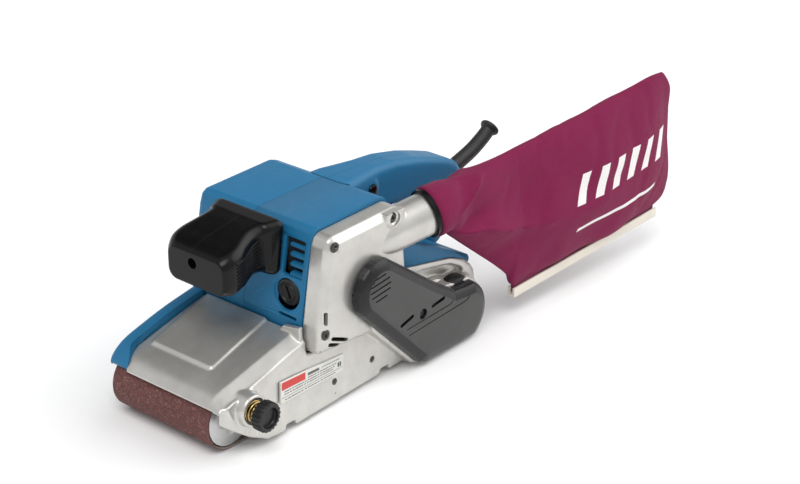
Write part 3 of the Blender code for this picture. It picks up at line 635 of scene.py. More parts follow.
def hood():
    """The front hood: a raised panel, a chamfer towards the drive side and a rolled lip."""
    top = smooth_path(HOOD_TOP, 12)
    under = arc(-ROLLER_X, BELT_R, BELT_R + 2.0, 141, 90, 10)
    start_y, end_y, chamfer_y = -60.7, HOOD_END, -49.0
    rings, steps = [], 140
    for k in range(steps + 1):
        y = start_y + (end_y - start_y) * k / steps
        drop = 5.2 * max(0.0, (chamfer_y - y) / (chamfer_y - start_y))
        ring = []
        for spot in top:
            share = step_up(spot.x, -139.0, -126.0)
            slant = (spot.x + 115) * 5 / 65
            near, far = -27.0 + slant, 36.0 + slant
            bend = max(0.0, (-107 - spot.x) / 9) ** 2 * 5
            inside = step_up(spot.x, -112.6, -110.0)
            inside *= step_up(y, near + bend - 1.9, near + bend + 1.9)
            inside *= 1 - step_up(y, far - bend - 1.4, far - bend + 1.4)
            z = spot.y - drop * (0.25 + 0.75 * share) + PANEL_RISE * inside
            ring.append((spot.x, hood_y(spot.x, y), z))
        tops = [(x, z) for x, _, z in ring]
        for x, z in under + [(-46.6, BELT_R * 2 + 2.0)]:
            above = min(tops, key=lambda top: abs(top[0] - x))[1]
            shallow = min(z, above - 3.2) if y < -51.4 else z
            ring.append((x, hood_y(x, y), shallow))
        rings.append(ring)
    return loft("hood", rings)


def melted(name, pieces, voxel, passes):
    """Overlapping solids melted into one casting with soft inner and outer corners."""
    bm = bmesh.new()
    for piece in pieces:
        bm.from_mesh(piece.data)
        bpy.data.objects.remove(piece, do_unlink=True)
    return remeshed(mesh_object(name, bm), voxel, passes)


def frame_casting():
    wall = plate("wall", fillet(WALL, WALL_ROUND), -69, -58)
    for vert in wall.data.vertices:
        if vert.co.y < -65 * MM:
            vert.co.y = draft(vert.co.x / MM, vert.co.z / MM) * MM
    corner = [(-160, -80), (-108, -80), (-112, -71), (-119, -68), (-127, -65.0), (-133, -62.0),
              (-137, -57.5), (-160, -57.5)]
    cut(wall, plate("plan_corner", corner, 0, 70, "z"))
    cut(wall, plate("notch_front", fillet([(-78, -5), (-78, 8), (-67, 8), (-67, -5)], 2), -75, -62),
        plate("notch_rear", fillet([(29, -5), (29, 8), (40, 8), (40, -5)], 2), -75, -62))
    recess = [(104, 58), (128, 47), (134, 52), (130, 58), (116, 65.5), (82, 73), (70, 73), (70, 64)]
    cut(wall, plate("rear_recess", fillet(recess, 4), -80, -61))
    seat = stacked("seat", inset(BELT_COVER, -3.2), 3.0, [(-62, 0), (-74.6, 0.6), (-75.9, 1.8)])
    cut(seat, plate("seat_top", [(-40, 56), (200, 56), (200, 140), (-40, 140)], -90, -50))
    cut(seat, block("seat_front", (-30, -90, -20), (12, -50, 140)))
    boss = turned_y("knob_boss", [(0, -58), (13.0, -58), (12.5, -69.0), (12.1, -70.4), (11.4, -70.9),
                                  (0, -70.9)], KNOB.x, KNOB.z, 64)
    upstand = plate("upstand", [(-35.5, 60), (-37.5, 65), (-41.5, 70.8), (-58.0, 73.4), (-58.5, 60)],
                    -50.5, -46.1, "x")
    casting = melted("frame_casting", [wall, hood(), seat, boss, upstand], 0.9, 5)
    cut(casting, rod_y("knob_recess", KNOB.x, KNOB.z, 10.5, -75, -61.5, 64))
    for cutter in (rod_y("knob_bore", KNOB.x, KNOB.z, 3.4, -62, -50),
                   rod_y("drive_near_hole", ROLLER_X, BELT_R, 13.0, -67.5, -55),
                   rod_y("seat_shaft_hole", ROLLER_X, BELT_R, 9.0, -90, -60),
                   *(rod_y("frame_screw_seat", x, z, 2.8, -75, draft(x, z) + 1.6, 24)
                     for x, z in FRAME_SCREWS)):
        cut(casting, cutter)
    finish_piece(casting, "frame", SILVER, "silver_paint", "base_frame", sharp=50)
    inner = block("frame_inner", (-50, -54.7, 50.4), (59, 43.7, 53.0))
    bridge = cut(block("bridge", (-50, -58.5, 5.1), (84, 38, 40)),
                 block("bridge_space", (-46, -70, 9), (80, 50, 36)))
    arm = arc(70, BELT_R, 11, 90, 270, 17) + arc(ROLLER_X, BELT_R, 14.5, -90, 90, 21)
    join(inner, block("web", (-50, -54.7, 37.0), (60, -51.2, 52.0)),
         block("ledge", (-50, -60.0, 36.5), (60, -51.2, 40.7)),
         bridge, block("arm_root", (60, 37, 12), (84, 55.5, 36)), plate("arm", arm, 51.2, 55.5),
         block("lever_tab_top", (-46, 36, 33), (-34, 50, 37.5)),
         block("lever_tab_low", (-46, 36, 7.5), (-34, 50, 12.5)))
    cut(inner, rod_y("drive_far_hole", ROLLER_X, BELT_R, 11.0, 50, 60),
        rod("stem_bore", (0, 0, 24), (1, 0, 0), 6.3, -52, -44),
        rod("lever_pin_holes", (-40, 45, 0), (0, 0, 1), 3.3, 5, 40))
    rounded(flat_faces(inner), 0.5, 2, 40)
    finish_piece(inner, "frame", SILVER, "silver_paint")


def bearing_cap():
    """Black cap over the rear bearing, seen in the belt cover's notch."""
    profile = [(0, -66.9), (21.8, -66.9), (21.8, -73.0), (20.2, -75.2), (17, -76), (0, -76)]
    cap = turned_y("bearing_cap", profile, 114.0, 35.5, 64)
    cut(cap, rod_y("cap_shaft_hole", ROLLER_X, BELT_R, 9.0, -90, -50))
    finish_piece(cap, "frame", MATTE, "black_matte")


def front_skirt():
    under = arc(-ROLLER_X, BELT_R, BELT_R + 2.7, 140, 90, 10)
    top = [(-47, 71.5), (-80, 66.5), (-105, 61.0), (-120, 57.0), (-129, 52.5), (-134.5, 47.5), (-136.5, 43.5)]
    outline = [tuple(p) for p in smooth_path(top, 6)] + under + [(-47, BELT_R * 2 + 2.7)]
    skirt = loft("front_skirt_shell", [[(x, hood_y(x, HOOD_END) + 0.3, z) for x, z in outline],
                                       [(x, 52.0, z) for x, z in outline]]
                 + [[(x + 1.2 * t, y, z - 1.6 * t) for x, z in outline]
                    for y, t in ((54.0, 0.4), (55.4, 1.1), (56.0, 2.2))])
    finish_piece(skirt, "frame", BLUE, "blue_plastic", "front_skirt")


# ---- housings
HOUSING = [(-46, 53.3), (-44.5, 74), (-33, 134), (-30, 142), (-25, 145), (44, 145), (51, 142.7),
           (54, 136), (57, 100), (58, 53.3)]
HOUSING_ROUND = [1, 10, 6, 4, 4, 4, 4, 4, 10, 1]
COVER = [(-45.5, 51.6), (-43.5, 74), (-33, 134), (-30, 140), (-25, 142.5), (44, 142.5), (50, 140),
         (53, 135), (57, 90), (58, 41.2)]
BRUSH_Y, BRUSH_Z = middle("brush_cap_front").y, middle("brush_cap_front").z
FRONT_CAP_Y, FRONT_CAP_Z = BRUSH_Y - 1.5, BRUSH_Z + 1.2


def front_face_x(z):
    """X of the sloping front of the housing at a height."""
    return -44.5 + (min(max(z, 74), 134) - 74) * 11.5 / 60


def motor_housing():
    shell = plate("motor_shell", fillet(HOUSING, HOUSING_ROUND), COVER_BACK + 0.05, SEAM_Y)
    cut(shell, plate("motor_space", fillet(inset(HOUSING, 3.0), 1.5), -70, 20))
    window = fillet([(-50.5, 105.5), (-31.5, 105.5), (-31.5, 134.8), (-50.5, 134.8)], 1.2)
    cut(shell, plate("vent_window", window, -60, -30, "x"))
    well = turned("brush_well", [(0, -60), (13.6, -60), (13.2, -39.6), (11.3, -38.9), (11.3, -33), (0, -33)],
                  (0, FRONT_CAP_Y, FRONT_CAP_Z), (1, 0, 0), 64)
    slot = fillet([(-49.8, 73.6), (-32.0, 74.2), (-32.0, 77.0), (-49.8, 76.4)], 1.3)
    cut(shell, well, rod("rear_brush_hole", (0, BRUSH_Y, BRUSH_Z), (1, 0, 0), 12.4, 50, 70),
        plate("slot", slot, -60, -30, "x"))
    rounded(flat_faces(shell, 0.3), 0.5, 2, 40)
    finish_piece(shell, "frame", BLUE, "blue_plastic", "motor_housing")
    louvres = []
    for i in range(4):
        z = 107.3 + 7.3 * i
        x = front_face_x(z)
        louvres.append(loft(f"louvre_{i}", [[(x + 1.0, y, z - 1.7), (x + 6, y, z - 0.6), (x + 6, y, z + 1.9),
                                             (x + 0.6, y, z + 1.0)] for y in (-50.4, -38.0 + 0.9 * i)]))
    grille = join(louvres[0], *louvres[1:])
    grille.name = "vent_louvres"
    rounded(flat_faces(grille), 0.35, 2, 40)
    finish_piece(grille, "frame", BLUE, "blue_plastic")
    backing = fillet([(-52.5, 104), (-30, 104), (-30, 136.5), (-52.5, 136.5)], 2)
    shadow = plate("vent_shadow", backing, -31.0, -29.5, "x")
    rounded(shadow, 0.3, 2, 40)
    finish_piece(shadow, "frame", HOLLOW, "black_matte")


def fan_housing():
    body = stacked("fan_shell", HOUSING, 4.0, [(SEAM_Y + 0.3, 0.0), (55.5, 0.0), (57.8, 0.35), (59.6, 1.3),
                                               (60.6, 2.6), (FAR_FACE, 4.2)])
    cut(body, plate("fan_space", inset(HOUSING, 3.2), 0.0, FAR_FACE - 3.5))
    for i in range(6):
        z = 68.2 + 9 * i
        cut(body, slot_cutter("exhaust_slot", (26, z), (44, z), 2.2, FAR_FACE - 6, FAR_FACE + 3))
    finish_piece(body, "frame", BLUE, "blue_plastic", "fan_housing")


def brush_caps():
    """Each cap is a rimmed disc with a slanting coin slot across its face."""
    lean, slot_depth = math.radians(68), 2.2
    for side, face, back, cap_y, cap_z in (("front", -39.4, -36.0, FRONT_CAP_Y, FRONT_CAP_Z),
                                           ("rear", 57.2, 52.8, BRUSH_Y, BRUSH_Z)):
        way = 1 if face > back else -1
        deep = abs(face - back)
        profile = [(0, 0), (10.9, 0), (10.9, deep - 0.9), (10.3, deep - 0.2), (9.5, deep), (8.2, deep),
                   (7.7, deep - 0.7), (6.7, deep - 0.7), (6.2, deep - 0.1), (0, deep - 0.1)]
        cap = turned(f"brush_cap_{side}_disc", profile, (back, cap_y, cap_z), (way, 0, 0), 64)
        slot = plate("coin_slot", fillet([(-5.6, -1.1), (5.6, -1.1), (5.6, 1.1), (-5.6, 1.1)], 1.0),
                     *sorted((face, face - slot_depth * way)), "x")
        for vert in slot.data.vertices:
            u, v = vert.co.y, vert.co.z
            vert.co.y = u * math.cos(lean) - v * math.sin(lean) + cap_y * MM
            vert.co.z = u * math.sin(lean) + v * math.cos(lean) + cap_z * MM
            if abs(vert.co.x / MM - face) < 0.01:
                vert.co.x += way * MM
        cut(cap, slot)
        finish_piece(cap, "frame", MATTE, "black_matte", f"brush_cap_{side}")


# ---- gear cover and nozzle
COVER_SCREWS = [(-26.5, 135.5), (38.0, 136.0), (-38.0, 68.0)]
FRAME_SCREWS = [(-23.5, 20.5), (20.0, 21.0)]
BELT_SCREW = (59.3, 50.5)


def gear_cover():
    cover = stacked("gear_cover_casting", COVER, 5.0,
                    [(COVER_BACK - 0.3, 0.0), (-67.6, 0.4), (-69.2, 1.1), (-73.0, 4.9), (COVER_FACE, 6.6)], 6)
    nozzle = rod("nozzle_outside", NOZZLE_MOUTH, NOZZLE_ALONG, NOZZLE_R, -66, -0.2, 64)
    cut(nozzle, block("nozzle_joint", (-60, COVER_BACK - 0.4, 30), (58.6, -10, 180)))
    join(cover, nozzle)
    shield = [(29, 150), (29, 134), (33.5, 129.5), (44, 129.5), (50, 134), (50, 150)]
    pad = stacked("screw_pad", fillet(shield, 3), 1.0, [(-70, 0), (-75.2, 0.3), (-75.8, 1.0)], 2)
    cut(pad, plate("pad_trim", [(20, 141.2), (60, 141.2), (60, 160), (20, 160)], -90, -60))
    join(cover, pad)
    remeshed(cover, 0.75, 6)
    cut(cover, plate("cover_space", inset(COVER, 3.2), COVER_FACE + 3.2, COVER_BACK + 5))
    join(cover, rod_y("bearing_boss", GEAR.x, GEAR.z, 12.0, COVER_FACE + 1, -66))
    cut(cover, rod("nozzle_bore", NOZZLE_MOUTH, NOZZLE_ALONG, NOZZLE_BORE_R, -60, 3, 48))
    seat = [(0, -80), (6.0, -80), (5.6, -74.1), (4.2, -73.2), (4.2, -71.4), (0, -71.4)]
    for x, z in COVER_SCREWS:
        cut(cover, turned_y("screw_seat", seat, x, z, 40))
    for cutter in (slot_cutter("vent_upright", (-36.9, 85.0), (-37.6, 77.0), 1.2, -80, -68),
                   slot_cutter("vent_upper", (-31.5, 62.4), (-16.0, 55.6), 1.6, -80, -68),
                   slot_cutter("vent_lower", (-35.0, 58.8), (-25.0, 54.6), 1.6, -80, -68),
                   rod_y("shaft_hole", GEAR.x, GEAR.z, 9.0, -80, -60, 30)):
        cut(cover, cutter)
    finish_piece(cover, "frame", SILVER, "silver_paint", "gear_cover", sharp=38)


def phillips(name, x, z, radius, face, deep, turn, node=None):
    """A domed screw head with a cross recess."""
    reach, width = radius * 0.66, radius * 0.19
    dome = [(0, deep), (radius, deep), (radius, 0.7), (radius * 0.86, 0.25), (radius * 0.55, 0.0), (0, 0)]
    head = turned_y(name, [(r, face + d) for r, d in dome], x, z, 36)
    arm = [(-reach, -width), (reach, -width), (reach, width), (-reach, width)]
    for angle in (turn, turn + 90):
        bar = loft("cross", [[(u * f, y, v) for u, v in arm]
                             for y, f in ((face - 1, 1.0), (face + min(1.4, deep + 0.4), 0.35))])
        bar.data.transform(Matrix.Rotation(math.radians(angle), 4, "Y"))
        bar.data.transform(Matrix.Translation((x * MM, 0, z * MM)))
        cut(head, bar)
    finish_piece(head, "frame", ZINC, "steel", *([node] if node else []))


def screws():
    for number, (x, z) in enumerate(COVER_SCREWS, 1):
        phillips(f"cover_screw_{number}_head", x, z, 3.8, COVER_FACE + 0.4, 1.5, 20 + 31 * number,
                 f"gear_cover_screw_{number}")
    phillips("belt_cover_screw_head", *BELT_SCREW, 3.4, -84.4, 2.4, 35, "belt_cover_screw")
    for number, (x, z) in enumerate(FRAME_SCREWS, 1):
        phillips(f"frame_screw_{number}", x, z, 2.5, draft(x, z) + 1.0, 0.6, 45 * number - 35)


# ---- belt cover
BELT_COVER = (arc(13, 88, 24.5, 62, 218, 15) + [(60, 5.5), (66, 3.0), (128, 2.0)]
              + arc(115.5, 26, 27.5, -55, 62, 13) + [(117, 51.0), (103, 53.0), (80, 68.5)])


def belt_cover():
    face = BELT_COVER_FACE
    cover = stacked("belt_cover_shell", BELT_COVER, 5.0,
                    [(BELT_COVER_BACK, 0.0), (-80.4, 0.3), (-82.0, 1.0), (-83.2, 2.2), (-84.9, 6.2),
                     (-85.6, 8.0), (face, 9.2)])
    cut(cover, stacked("belt_cover_space", BELT_COVER, 3.0,
                       [(face + 2.7, 8.4), (-81.4, 4.2), (-79.5, 2.8), (-70, 2.6)]))
    seat = [(0, face - 2), (5.2, face - 2), (4.0, face + 1.0), (4.0, face + 5), (0, face + 5)]
    cut(cover, turned_y("screw_seat", seat, *BELT_SCREW, 40),
        slot_cutter("slot_low", (33.5, 50.6), (46.5, 53.6), 1.5, face - 2, face + 5),
        slot_cutter("slot_high", (71.0, 52.6), (84.5, 54.2), 1.5, face - 2, face + 5))
    hatch_middle, hatch_radius, tilt, hatch_depth = Vector((9.5, 92.5)), 11.0, 0.08, 0.7
    for offset in (-9.2, -4.6, 0.0, 4.6, 9.2):
        centre = hatch_middle + Vector((-tilt, 1.0)) * offset
        along = Vector((1.0, tilt)) * math.sqrt(hatch_radius ** 2 - offset ** 2)
        cut(cover, slot_cutter("hatch", centre - along, centre + along, 0.7, face - 2, face + hatch_depth))
    for run in ([(40, 44.5), (66, 45.0), (92, 45.5), (95.5, 46.6), (97, 49.0)],
                [(43, 38.5), (80, 39.6), (112, 40.6), (116, 41.8), (118, 44.5)]):
        for start, end in zip(run, run[1:]):
            cut(cover, slot_cutter("groove", start, end, 0.45, face - 2, face + 0.6))
    finish_piece(cover, "frame", [COVER_BLACK, SHADED_RIM_BLACK], "black_matte", "belt_cover", sharp=40)
    # Faces behind the front face that do not look down take the darker rim colour as painted shade: the
    # sloping rim and the walls of the grooves, hatch, slots and screw seat.
    for piece_face in cover.data.polygons:
        if piece_face.center.y / MM > face + 0.25 and piece_face.normal.z > -0.5:
            piece_face.material_index = 1


# ---- rear cover and handle
def rear_cover():
    shell = plate("rear_cover_shell", fillet([(58.9, 53.5), (58.9, 104), (68, 101), (150, 58.5), (152, 54),
                                              (150, 51.2), (116, 51.2), (112, 53.5)],
                                             [0.5, 1, 8, 4, 2, 1, 1, 1]), -57.6, 56)
    rim = [(x, z + 0.5) for x, z in WALL[11:14]][::-1]
    crest = [(136, 63), (120, 75.5), (100, 86), (68, 101), (58.9, 104)]
    wing_round = [0.5, 1, 14, 2, 0.6, 12, 12, 8, 1]
    wing = plate("rear_wing", fillet([(58.9, 84)] + rim + crest, wing_round), -66.0, -57.0)
    join(shell, wing)
    cut(shell, plate("rear_space", [(50, 40), (50, 98), (66, 97.5), (146, 55.5), (146, 40)], -54, 52.5))
    rounded(flat_faces(shell, 0.4), 1.6, 3, 38)
    finish_piece(shell, "frame", BLUE, "blue_plastic", "rear_cover")


HANDLE = [(40, 145.0), (58.9, 144.6), (74, 143.8), (90, 142.8), (112, 140.6), (140, 134.2), (162, 127),
          (180, 120.5), (191, 114), (196.5, 106), (197, 98), (193, 84), (185, 70), (176, 58),
          (169, 50.5), (162, 47), (156.5, 48), (153.5, 52), (154, 60), (159, 68), (163, 78), (161, 88),
          (152, 95), (137, 98.5), (117, 102), (85, 106), (66, 105), (58.9, 104.5), (40, 104)]
LOCK = (79, 128)            # x and z of the lock button


def handle():
    whole = plate("handle", HANDLE, -16, 16)
    rounded(whole, 9.5, 5, 60)
    for vert in whole.data.vertices:
        flare = 1 - step_up(vert.co.x / MM, 50, 92)
        vert.co.y *= 1 + (0.5 if vert.co.y > 0 else 0.35) * flare
    join(whole, rod_y("lock_collar", *LOCK, 8.2, -18.2, 0, 48, 1.0))
    remeshed(whole, 1.1, 9)
    cut(whole, plate("flush_end", inset(HOUSING, -0.35), -60, 60),
        block("switch_space", (72, -10, 112), (125, 10, 137.2)),
        plate("trigger_slot", fillet([(84, -8.3), (118.8, -8.3), (118.8, 8.3), (84, 8.3)], 1.5),
              95, 118, "z"),
        rod("guard_socket", (196, 0, 100), (27, 0, 7), 7.0, -14, 10, 48),
        rod_y("lock_hole", *LOCK, 5.3, -25, -5, 48))
    far = applied(add_object("handle_far_shell", whole.data.copy()))
    whole.name = "handle_near_shell"
    cut(whole, block("far_side", (30, -0.12, 30), (220, 60, 170)))
    cut(far, block("near_side", (30, -60, 30), (220, 0.12, 170)))
    finish_piece(whole, "frame", BLUE, "blue_plastic", "handle_near", sharp=40)
    finish_piece(far, "frame", BLUE, "blue_plastic", "handle_far", sharp=40)


def trigger():
    outline = [(85, 118), (86, 104), (92, 100), (104, 98.5), (113, 98), (115.5, 101), (115.5, 118)]
    lever = plate("trigger_lever", fillet(outline, [0.5, 6, 6, 12, 3, 3, 0.5]), -7.7, 7.7)
    rounded(lever, 1.4, 3, 50)
    finish_piece(lever, "trigger", MATTE, "black_matte", "trigger")


def lock_button():
    profile = [(0, -20.5), (3.0, -20.3), (4.4, -19.6), (5.0, -18.6), (5.0, -13), (0, -13)]
    finish_piece(turned_y("lock_button_cap", profile, *LOCK, 40), "lock_button", GLOSS, "black_matte",
                 "lock_button")


def cord_guard():
    route = [(184, 0, 97), (196, 0, 100), (212, 0, 104), (228, 0, 108.7), (242, 0, 115), (252, 0, 121)]
    path = smooth_path(route, 10)
    radii = [6.6 - 0.5 * i / (len(path) - 1) for i in range(len(path))]
    guard = tube("cord_guard_sleeve", path, radii, 40)
    end = Vector(route[-1])
    along = (end - Vector(route[-2])).normalized()
    lip = turned("lip", [(0, -3.6), (6.2, -3.6), (7.4, -2.4), (8.3, -1.2), (8.6, 0), (8.2, 1.0), (7.0, 1.5),
                         (0, 1.5)], end, along, 48)
    join(guard, lip)
    mouth = [(0, -16), (4.8, -16), (4.8, 0.4), (5.6, 1.6), (5.6, 4), (0, 4)]
    cut(guard, turned("mouth", mouth, end, along, 40))
    finish_piece(guard, "frame", RUBBER, "rubber", "cord_guard")


# ---- front grip
def rounded_ring(x_of, y_low, y_high, z_low, z_high, corner, per_corner=9):
    ring = []
    centres = [(y_high - corner, z_high - corner, 0), (y_low + corner, z_high - corner, 90),
               (y_low + corner, z_low + corner, 180), (y_high - corner, z_low + corner, 270)]
    for y, z, start in centres:
        for py, pz in arc(y, z, corner, start, start + 90, per_corner):
            ring.append((x_of(pz), py, pz))
    return ring


RIB_COUNT = 8


def front_grip():
    """Glossy grip: flange, waist with ribs on the near side, palm swell and blunt nose."""
    def face(z):
        return front_face_x(z) - 0.9

    rings = [rounded_ring(x_of, -30, 38, 104, 146.5, 6) for x_of in (face, lambda z: face(z) - 3.5)]
    stations = [(-46.5, -27.5, 34.5, 105.5, 146.4, 7), (-50, -25.5, 32.5, 107, 146, 8),
                (-59, -24.5, 32, 108, 145, 8), (-69, -28, 33.5, 107.5, 143.5, 9),
                (-79, -32.5, 34.5, 106.5, 141.8, 9), (-88, -34.5, 33, 106, 140.2, 9),
                (-95, -33.5, 29, 107, 138, 9), (-99.4, -31.5, 25, 109, 135.5, 8)]
    for x, *sides_and_corner in smooth_path(stations, 5):
        rings.append(rounded_ring(lambda z, x=x: x, *sides_and_corner))
    grip = loft("front_grip_shell", rings)
    remeshed(grip, 0.8, 8)
    surface = BVHTree.FromObject(grip, bpy.context.evaluated_depsgraph_get())

    def hit(origin, direction):
        spot = surface.ray_cast(Vector(origin) * MM, Vector(direction))[0]
        return None if spot is None else spot / MM

    seam = [hit((x, 2.0, 170), (0, 0, -1)) for x in range(-98, -44, 3)]
    cut(grip, tube("seam", [spot for spot in seam if spot], 0.45, 8))
    for i in range(RIB_COUNT):
        ridge = []
        for t in (k / 12 for k in range(13)):
            z = 132.5 - 2.8 * i + (4.0 - 0.1 * i) * t - 1.6 * math.sin(t * math.pi)
            ridge.append(hit((-88 + 34 * t, -80, z), (0, 1, 0)))
        join(grip, tube("rib", [spot for spot in ridge if spot], 0.8, 8))
    cut(grip, rod("grip_screw_hole", (0, 0, 127), (1, 0, 0), 4.2, -110, -62, 40))
    finish_piece(grip, "frame", GLOSS, "black_gloss", "front_grip", sharp=40)


# ---- knob
def tracking_knob():
    flutes = 20
    outline = []
    for angle in circle(240):
        wave = math.cos(angle * flutes)
        radius = 11.15 + 0.45 * max(-1.0, min(1.0, wave * 1.8))
        outline.append((radius * math.cos(angle), radius * math.sin(angle)))
    rings = []
    for y, scale in ((-77.0, 0.93), (-77.7, 1.0), (-84.6, 1.0), (-85.5, 0.965), (-86.0, 0.90)):
        rings.append([(KNOB.x + u * scale, y, KNOB.z + v * scale) for u, v in outline])
    knob = loft("tracking_knob_cap", rings)
    cup = [(0, -83.0), (7.2, -83.0), (7.9, -84.0), (8.4, -88), (0, -88)]
    cut(knob, turned_y("cup", cup, KNOB.x, KNOB.z, 48))
    join(knob, rod_y("knob_screw", KNOB.x, KNOB.z, 3.0, -78, -58.6, 24))
    finish_piece(knob, "tracking_knob", MATTE, "black_gloss", "tracking_knob", sharp=35)
    turns, per_turn, coil_radius, outer_y, inner_y = 4.5, 24, 7.4, -76.0, -62.6
    coil = []
    for i in range(int(turns * per_turn) + 1):
        angle = 2 * math.pi * i / per_turn
        y = outer_y + (inner_y - outer_y) * i / (turns * per_turn)
        coil.append((KNOB.x + coil_radius * math.cos(angle), y, KNOB.z + coil_radius * math.sin(angle)))
    finish_piece(tube("tracking_spring_coil", coil, 0.8, 10), "frame", BRASS, "brass", "tracking_spring")


# ---- label
def label():
    corners = [(-79, 43), (-82, 27), (-13.5, 26.5), (-11, 38.8)]
    lift = -2.6

    def sheet_point(s, t):
        left = Vector(corners[1]).lerp(Vector(corners[0]), t)
        right = Vector(corners[2]).lerp(Vector(corners[3]), t)
        return left.lerp(right, s)

    def pad(name, s0, s1, t0, t1, out):
        rings = []
        for y_off in (lift + 2.0, lift - out):
            ring = []
            for s, t in ((s0, t0), (s1, t0), (s1, t1), (s0, t1)):
                x, z = sheet_point(s, t)
                ring.append((x, draft(x, z) + y_off, z))
            rings.append(ring)
        return loft(name, rings)

    base = pad("label", 0, 1, 0, 1, 0.0)
    rounded(base, 0.5, 2, 40)
    finish_piece(base, "frame", FOIL, "label_foil", "label_plate")
    finish_piece(pad("label_red_patch", 0.012, 0.38, 0.62, 0.975, 0.12), "frame", RED, "label_foil")
    # start, end, bottom, top and number of bars of each line, as shares of the label
    lines = [(0.42, 0.60, 0.74, 0.88, 1), (0.64, 0.93, 0.80, 0.84, 9), (0.42, 0.88, 0.62, 0.66, 12),
             (0.05, 0.86, 0.49, 0.53, 20), (0.05, 0.84, 0.37, 0.41, 18), (0.90, 0.97, 0.36, 0.62, 2),
             (0.012, 0.988, 0.245, 0.262, 1), (0.06, 0.88, 0.11, 0.15, 16)]
    strips = []
    for start, end, t0, t1, count in lines:
        pitch = (end - start) / count
        for k in range(count):
            gap = 0.0 if count == 1 else pitch * (0.22 + 0.16 * math.sin(5.1 * k + 9 * t0))
            strips.append(pad("label_bar", start + k * pitch, start + (k + 1) * pitch - gap, t0, t1, 0.10))
    joined = join(strips[0], *strips[1:])
    joined.name = "label_bars"
    finish_piece(joined, "frame", INK, "label_foil")


# ---- dust bag
BAG_STATIONS = [            # distance behind the mouth, lowest z, highest z, half thickness
    (15, 107.0, 146.5, 18.5), (24, 98, 146.0, 18), (38, 86, 146.0, 17), (56, 71, 147, 16),
    (74, 56, 148.5, 15), (90, 41, 150, 14), (97, 29.5, 150.8, 14), (120, 30.4, 152.5, 17),
    (160, 33.7, 156, 20), (200, 37.1, 160, 20), (240, 40.4, 164.0, 15), (264, 43, 166.4, 9.5),
    (277, 45.5, 166.8, 5), (284, 50, 165, 2.6), (287, 60, 152, 1.6)]


def bag_point(distance, side, z):
    spot = NOZZLE_MOUTH + BAG_ALONG * distance + BAG_ACROSS * side
    return Vector((spot.x, spot.y, z))


def rail_height(distance):
    """Top of the clip rail at a distance behind the mouth."""
    return 27 + (distance - 96) / 12


def fold_depth(s, side, z):
    """How far the cloth stands out: rays from the mouth, broad swells, creases and a wavy hem."""
    away = step_up(s, 10, 40) * (1 - step_up(s, 272, 287) * 0.5)
    bearing = math.atan2(z - 108, max(s + 6, 1))
    wander = 0.9 * noise.noise(Vector((bearing * 2.5, s / 60, 0)))
    ray = 1 - 2 * abs(math.sin(bearing * 4.6 + 0.7 + wander)) ** 0.8
    rays = ray * math.exp(-s / 150) * step_up(s, 4, 30)
    broad = noise.noise(Vector((s / 46, z / 34, 3.1 + side / 90)))
    crease = abs(noise.noise(Vector((s / 38 - z / 50, z / 60 + s / 90, 7.7))))
    wave = math.sin(s / 10.5 + 1.2 * noise.noise(Vector((s / 30, z / 40, 1.0))))
    hang = wave * (1 - step_up(z, 40, 85))
    return away * (6.4 * rays + 3.4 * broad - 4.0 * (0.25 - min(crease, 0.25)) + 1.1 * hang)


def rear_bulge(s, z):
    """How far the bag's rear edge leans back at a height."""
    def swell(height, spread):
        return math.exp(-((z - height) / spread) ** 2)

    return step_up(s, 215, 287) * (6.0 * swell(66, 30) - 6.5 * swell(170, 11) + 2.0 * swell(148, 10))


def dust_bag():
    around, squareness = circle(120), 0.8
    rings = []
    for along, radius in ((0.8, 19.9), (1.4, 20.6), (4.5, 20.5), (9.0, 20.0)):
        ring = []
        for angle in around:
            out = BAG_ACROSS * math.cos(angle) * radius + Vector((0, 0, radius * math.sin(angle)))
            ring.append(NOZZLE_MOUTH + NOZZLE_ALONG * along + out - NOZZLE_ALONG * out.dot(NOZZLE_ALONG))
        rings.append(ring)
    for distance, z_low, z_high, half in smooth_path(BAG_STATIONS, 14):
        ring = []
        for angle in around:
            side = math.copysign(abs(math.cos(angle)) ** squareness, math.cos(angle))
            z = (z_low + z_high) / 2 + (z_high - z_low) / 2 * math.sin(angle)
            ring.append(bag_point(distance, half * side, z))
        rings.append(ring)
    bag = loft("dust_bag_cloth", rings)
    for vert in bag.data.vertices:
        spot = vert.co / MM
        rel = spot - NOZZLE_MOUTH
        s, side, z = rel.dot(BAG_ALONG), rel.dot(BAG_ACROSS), spot.z
        push = (1 if side > 0 else -1) * min(1.0, abs(side) / 6)
        vert.co += BAG_ACROSS * (push * fold_depth(s, side, z) * MM)
        vert.co += BAG_ALONG * (rear_bulge(s, z) * MM)
    finish_piece(bag, "dust_bag", CLOTH, "bag_fabric", "dust_bag", sharp=0)
    fin, steps = [], 60
    for i in range(steps + 1):
        s = 97.5 + 177 * i / steps
        floor = rail_height(s) - 4.4
        profile = [(-1.1, floor + 0.6), (0, floor), (1.1, floor + 0.6), (1.5, floor + 11), (-1.5, floor + 11)]
        fin.append([bag_point(s, side + 0.25 * math.sin(s / 7), z) for side, z in profile])
    finish_piece(loft("bag_hem_fin", fin), "dust_bag", HEM, "bag_fabric")


def bag_ring():
    profile = [(17.4, -3.6), (18.6, -4.0), (19.6, -3.2), (19.6, -1.4), (18.9, -0.9), (18.9, 2.4), (19.6, 2.9),
               (19.6, 5.2), (18.8, 6.0), (17.4, 6.0)]
    finish_piece(turned("bag_ring_collar", profile, NOZZLE_MOUTH, NOZZLE_ALONG, 64), "dust_bag", GLOSS,
                 "black_matte", "bag_ring")


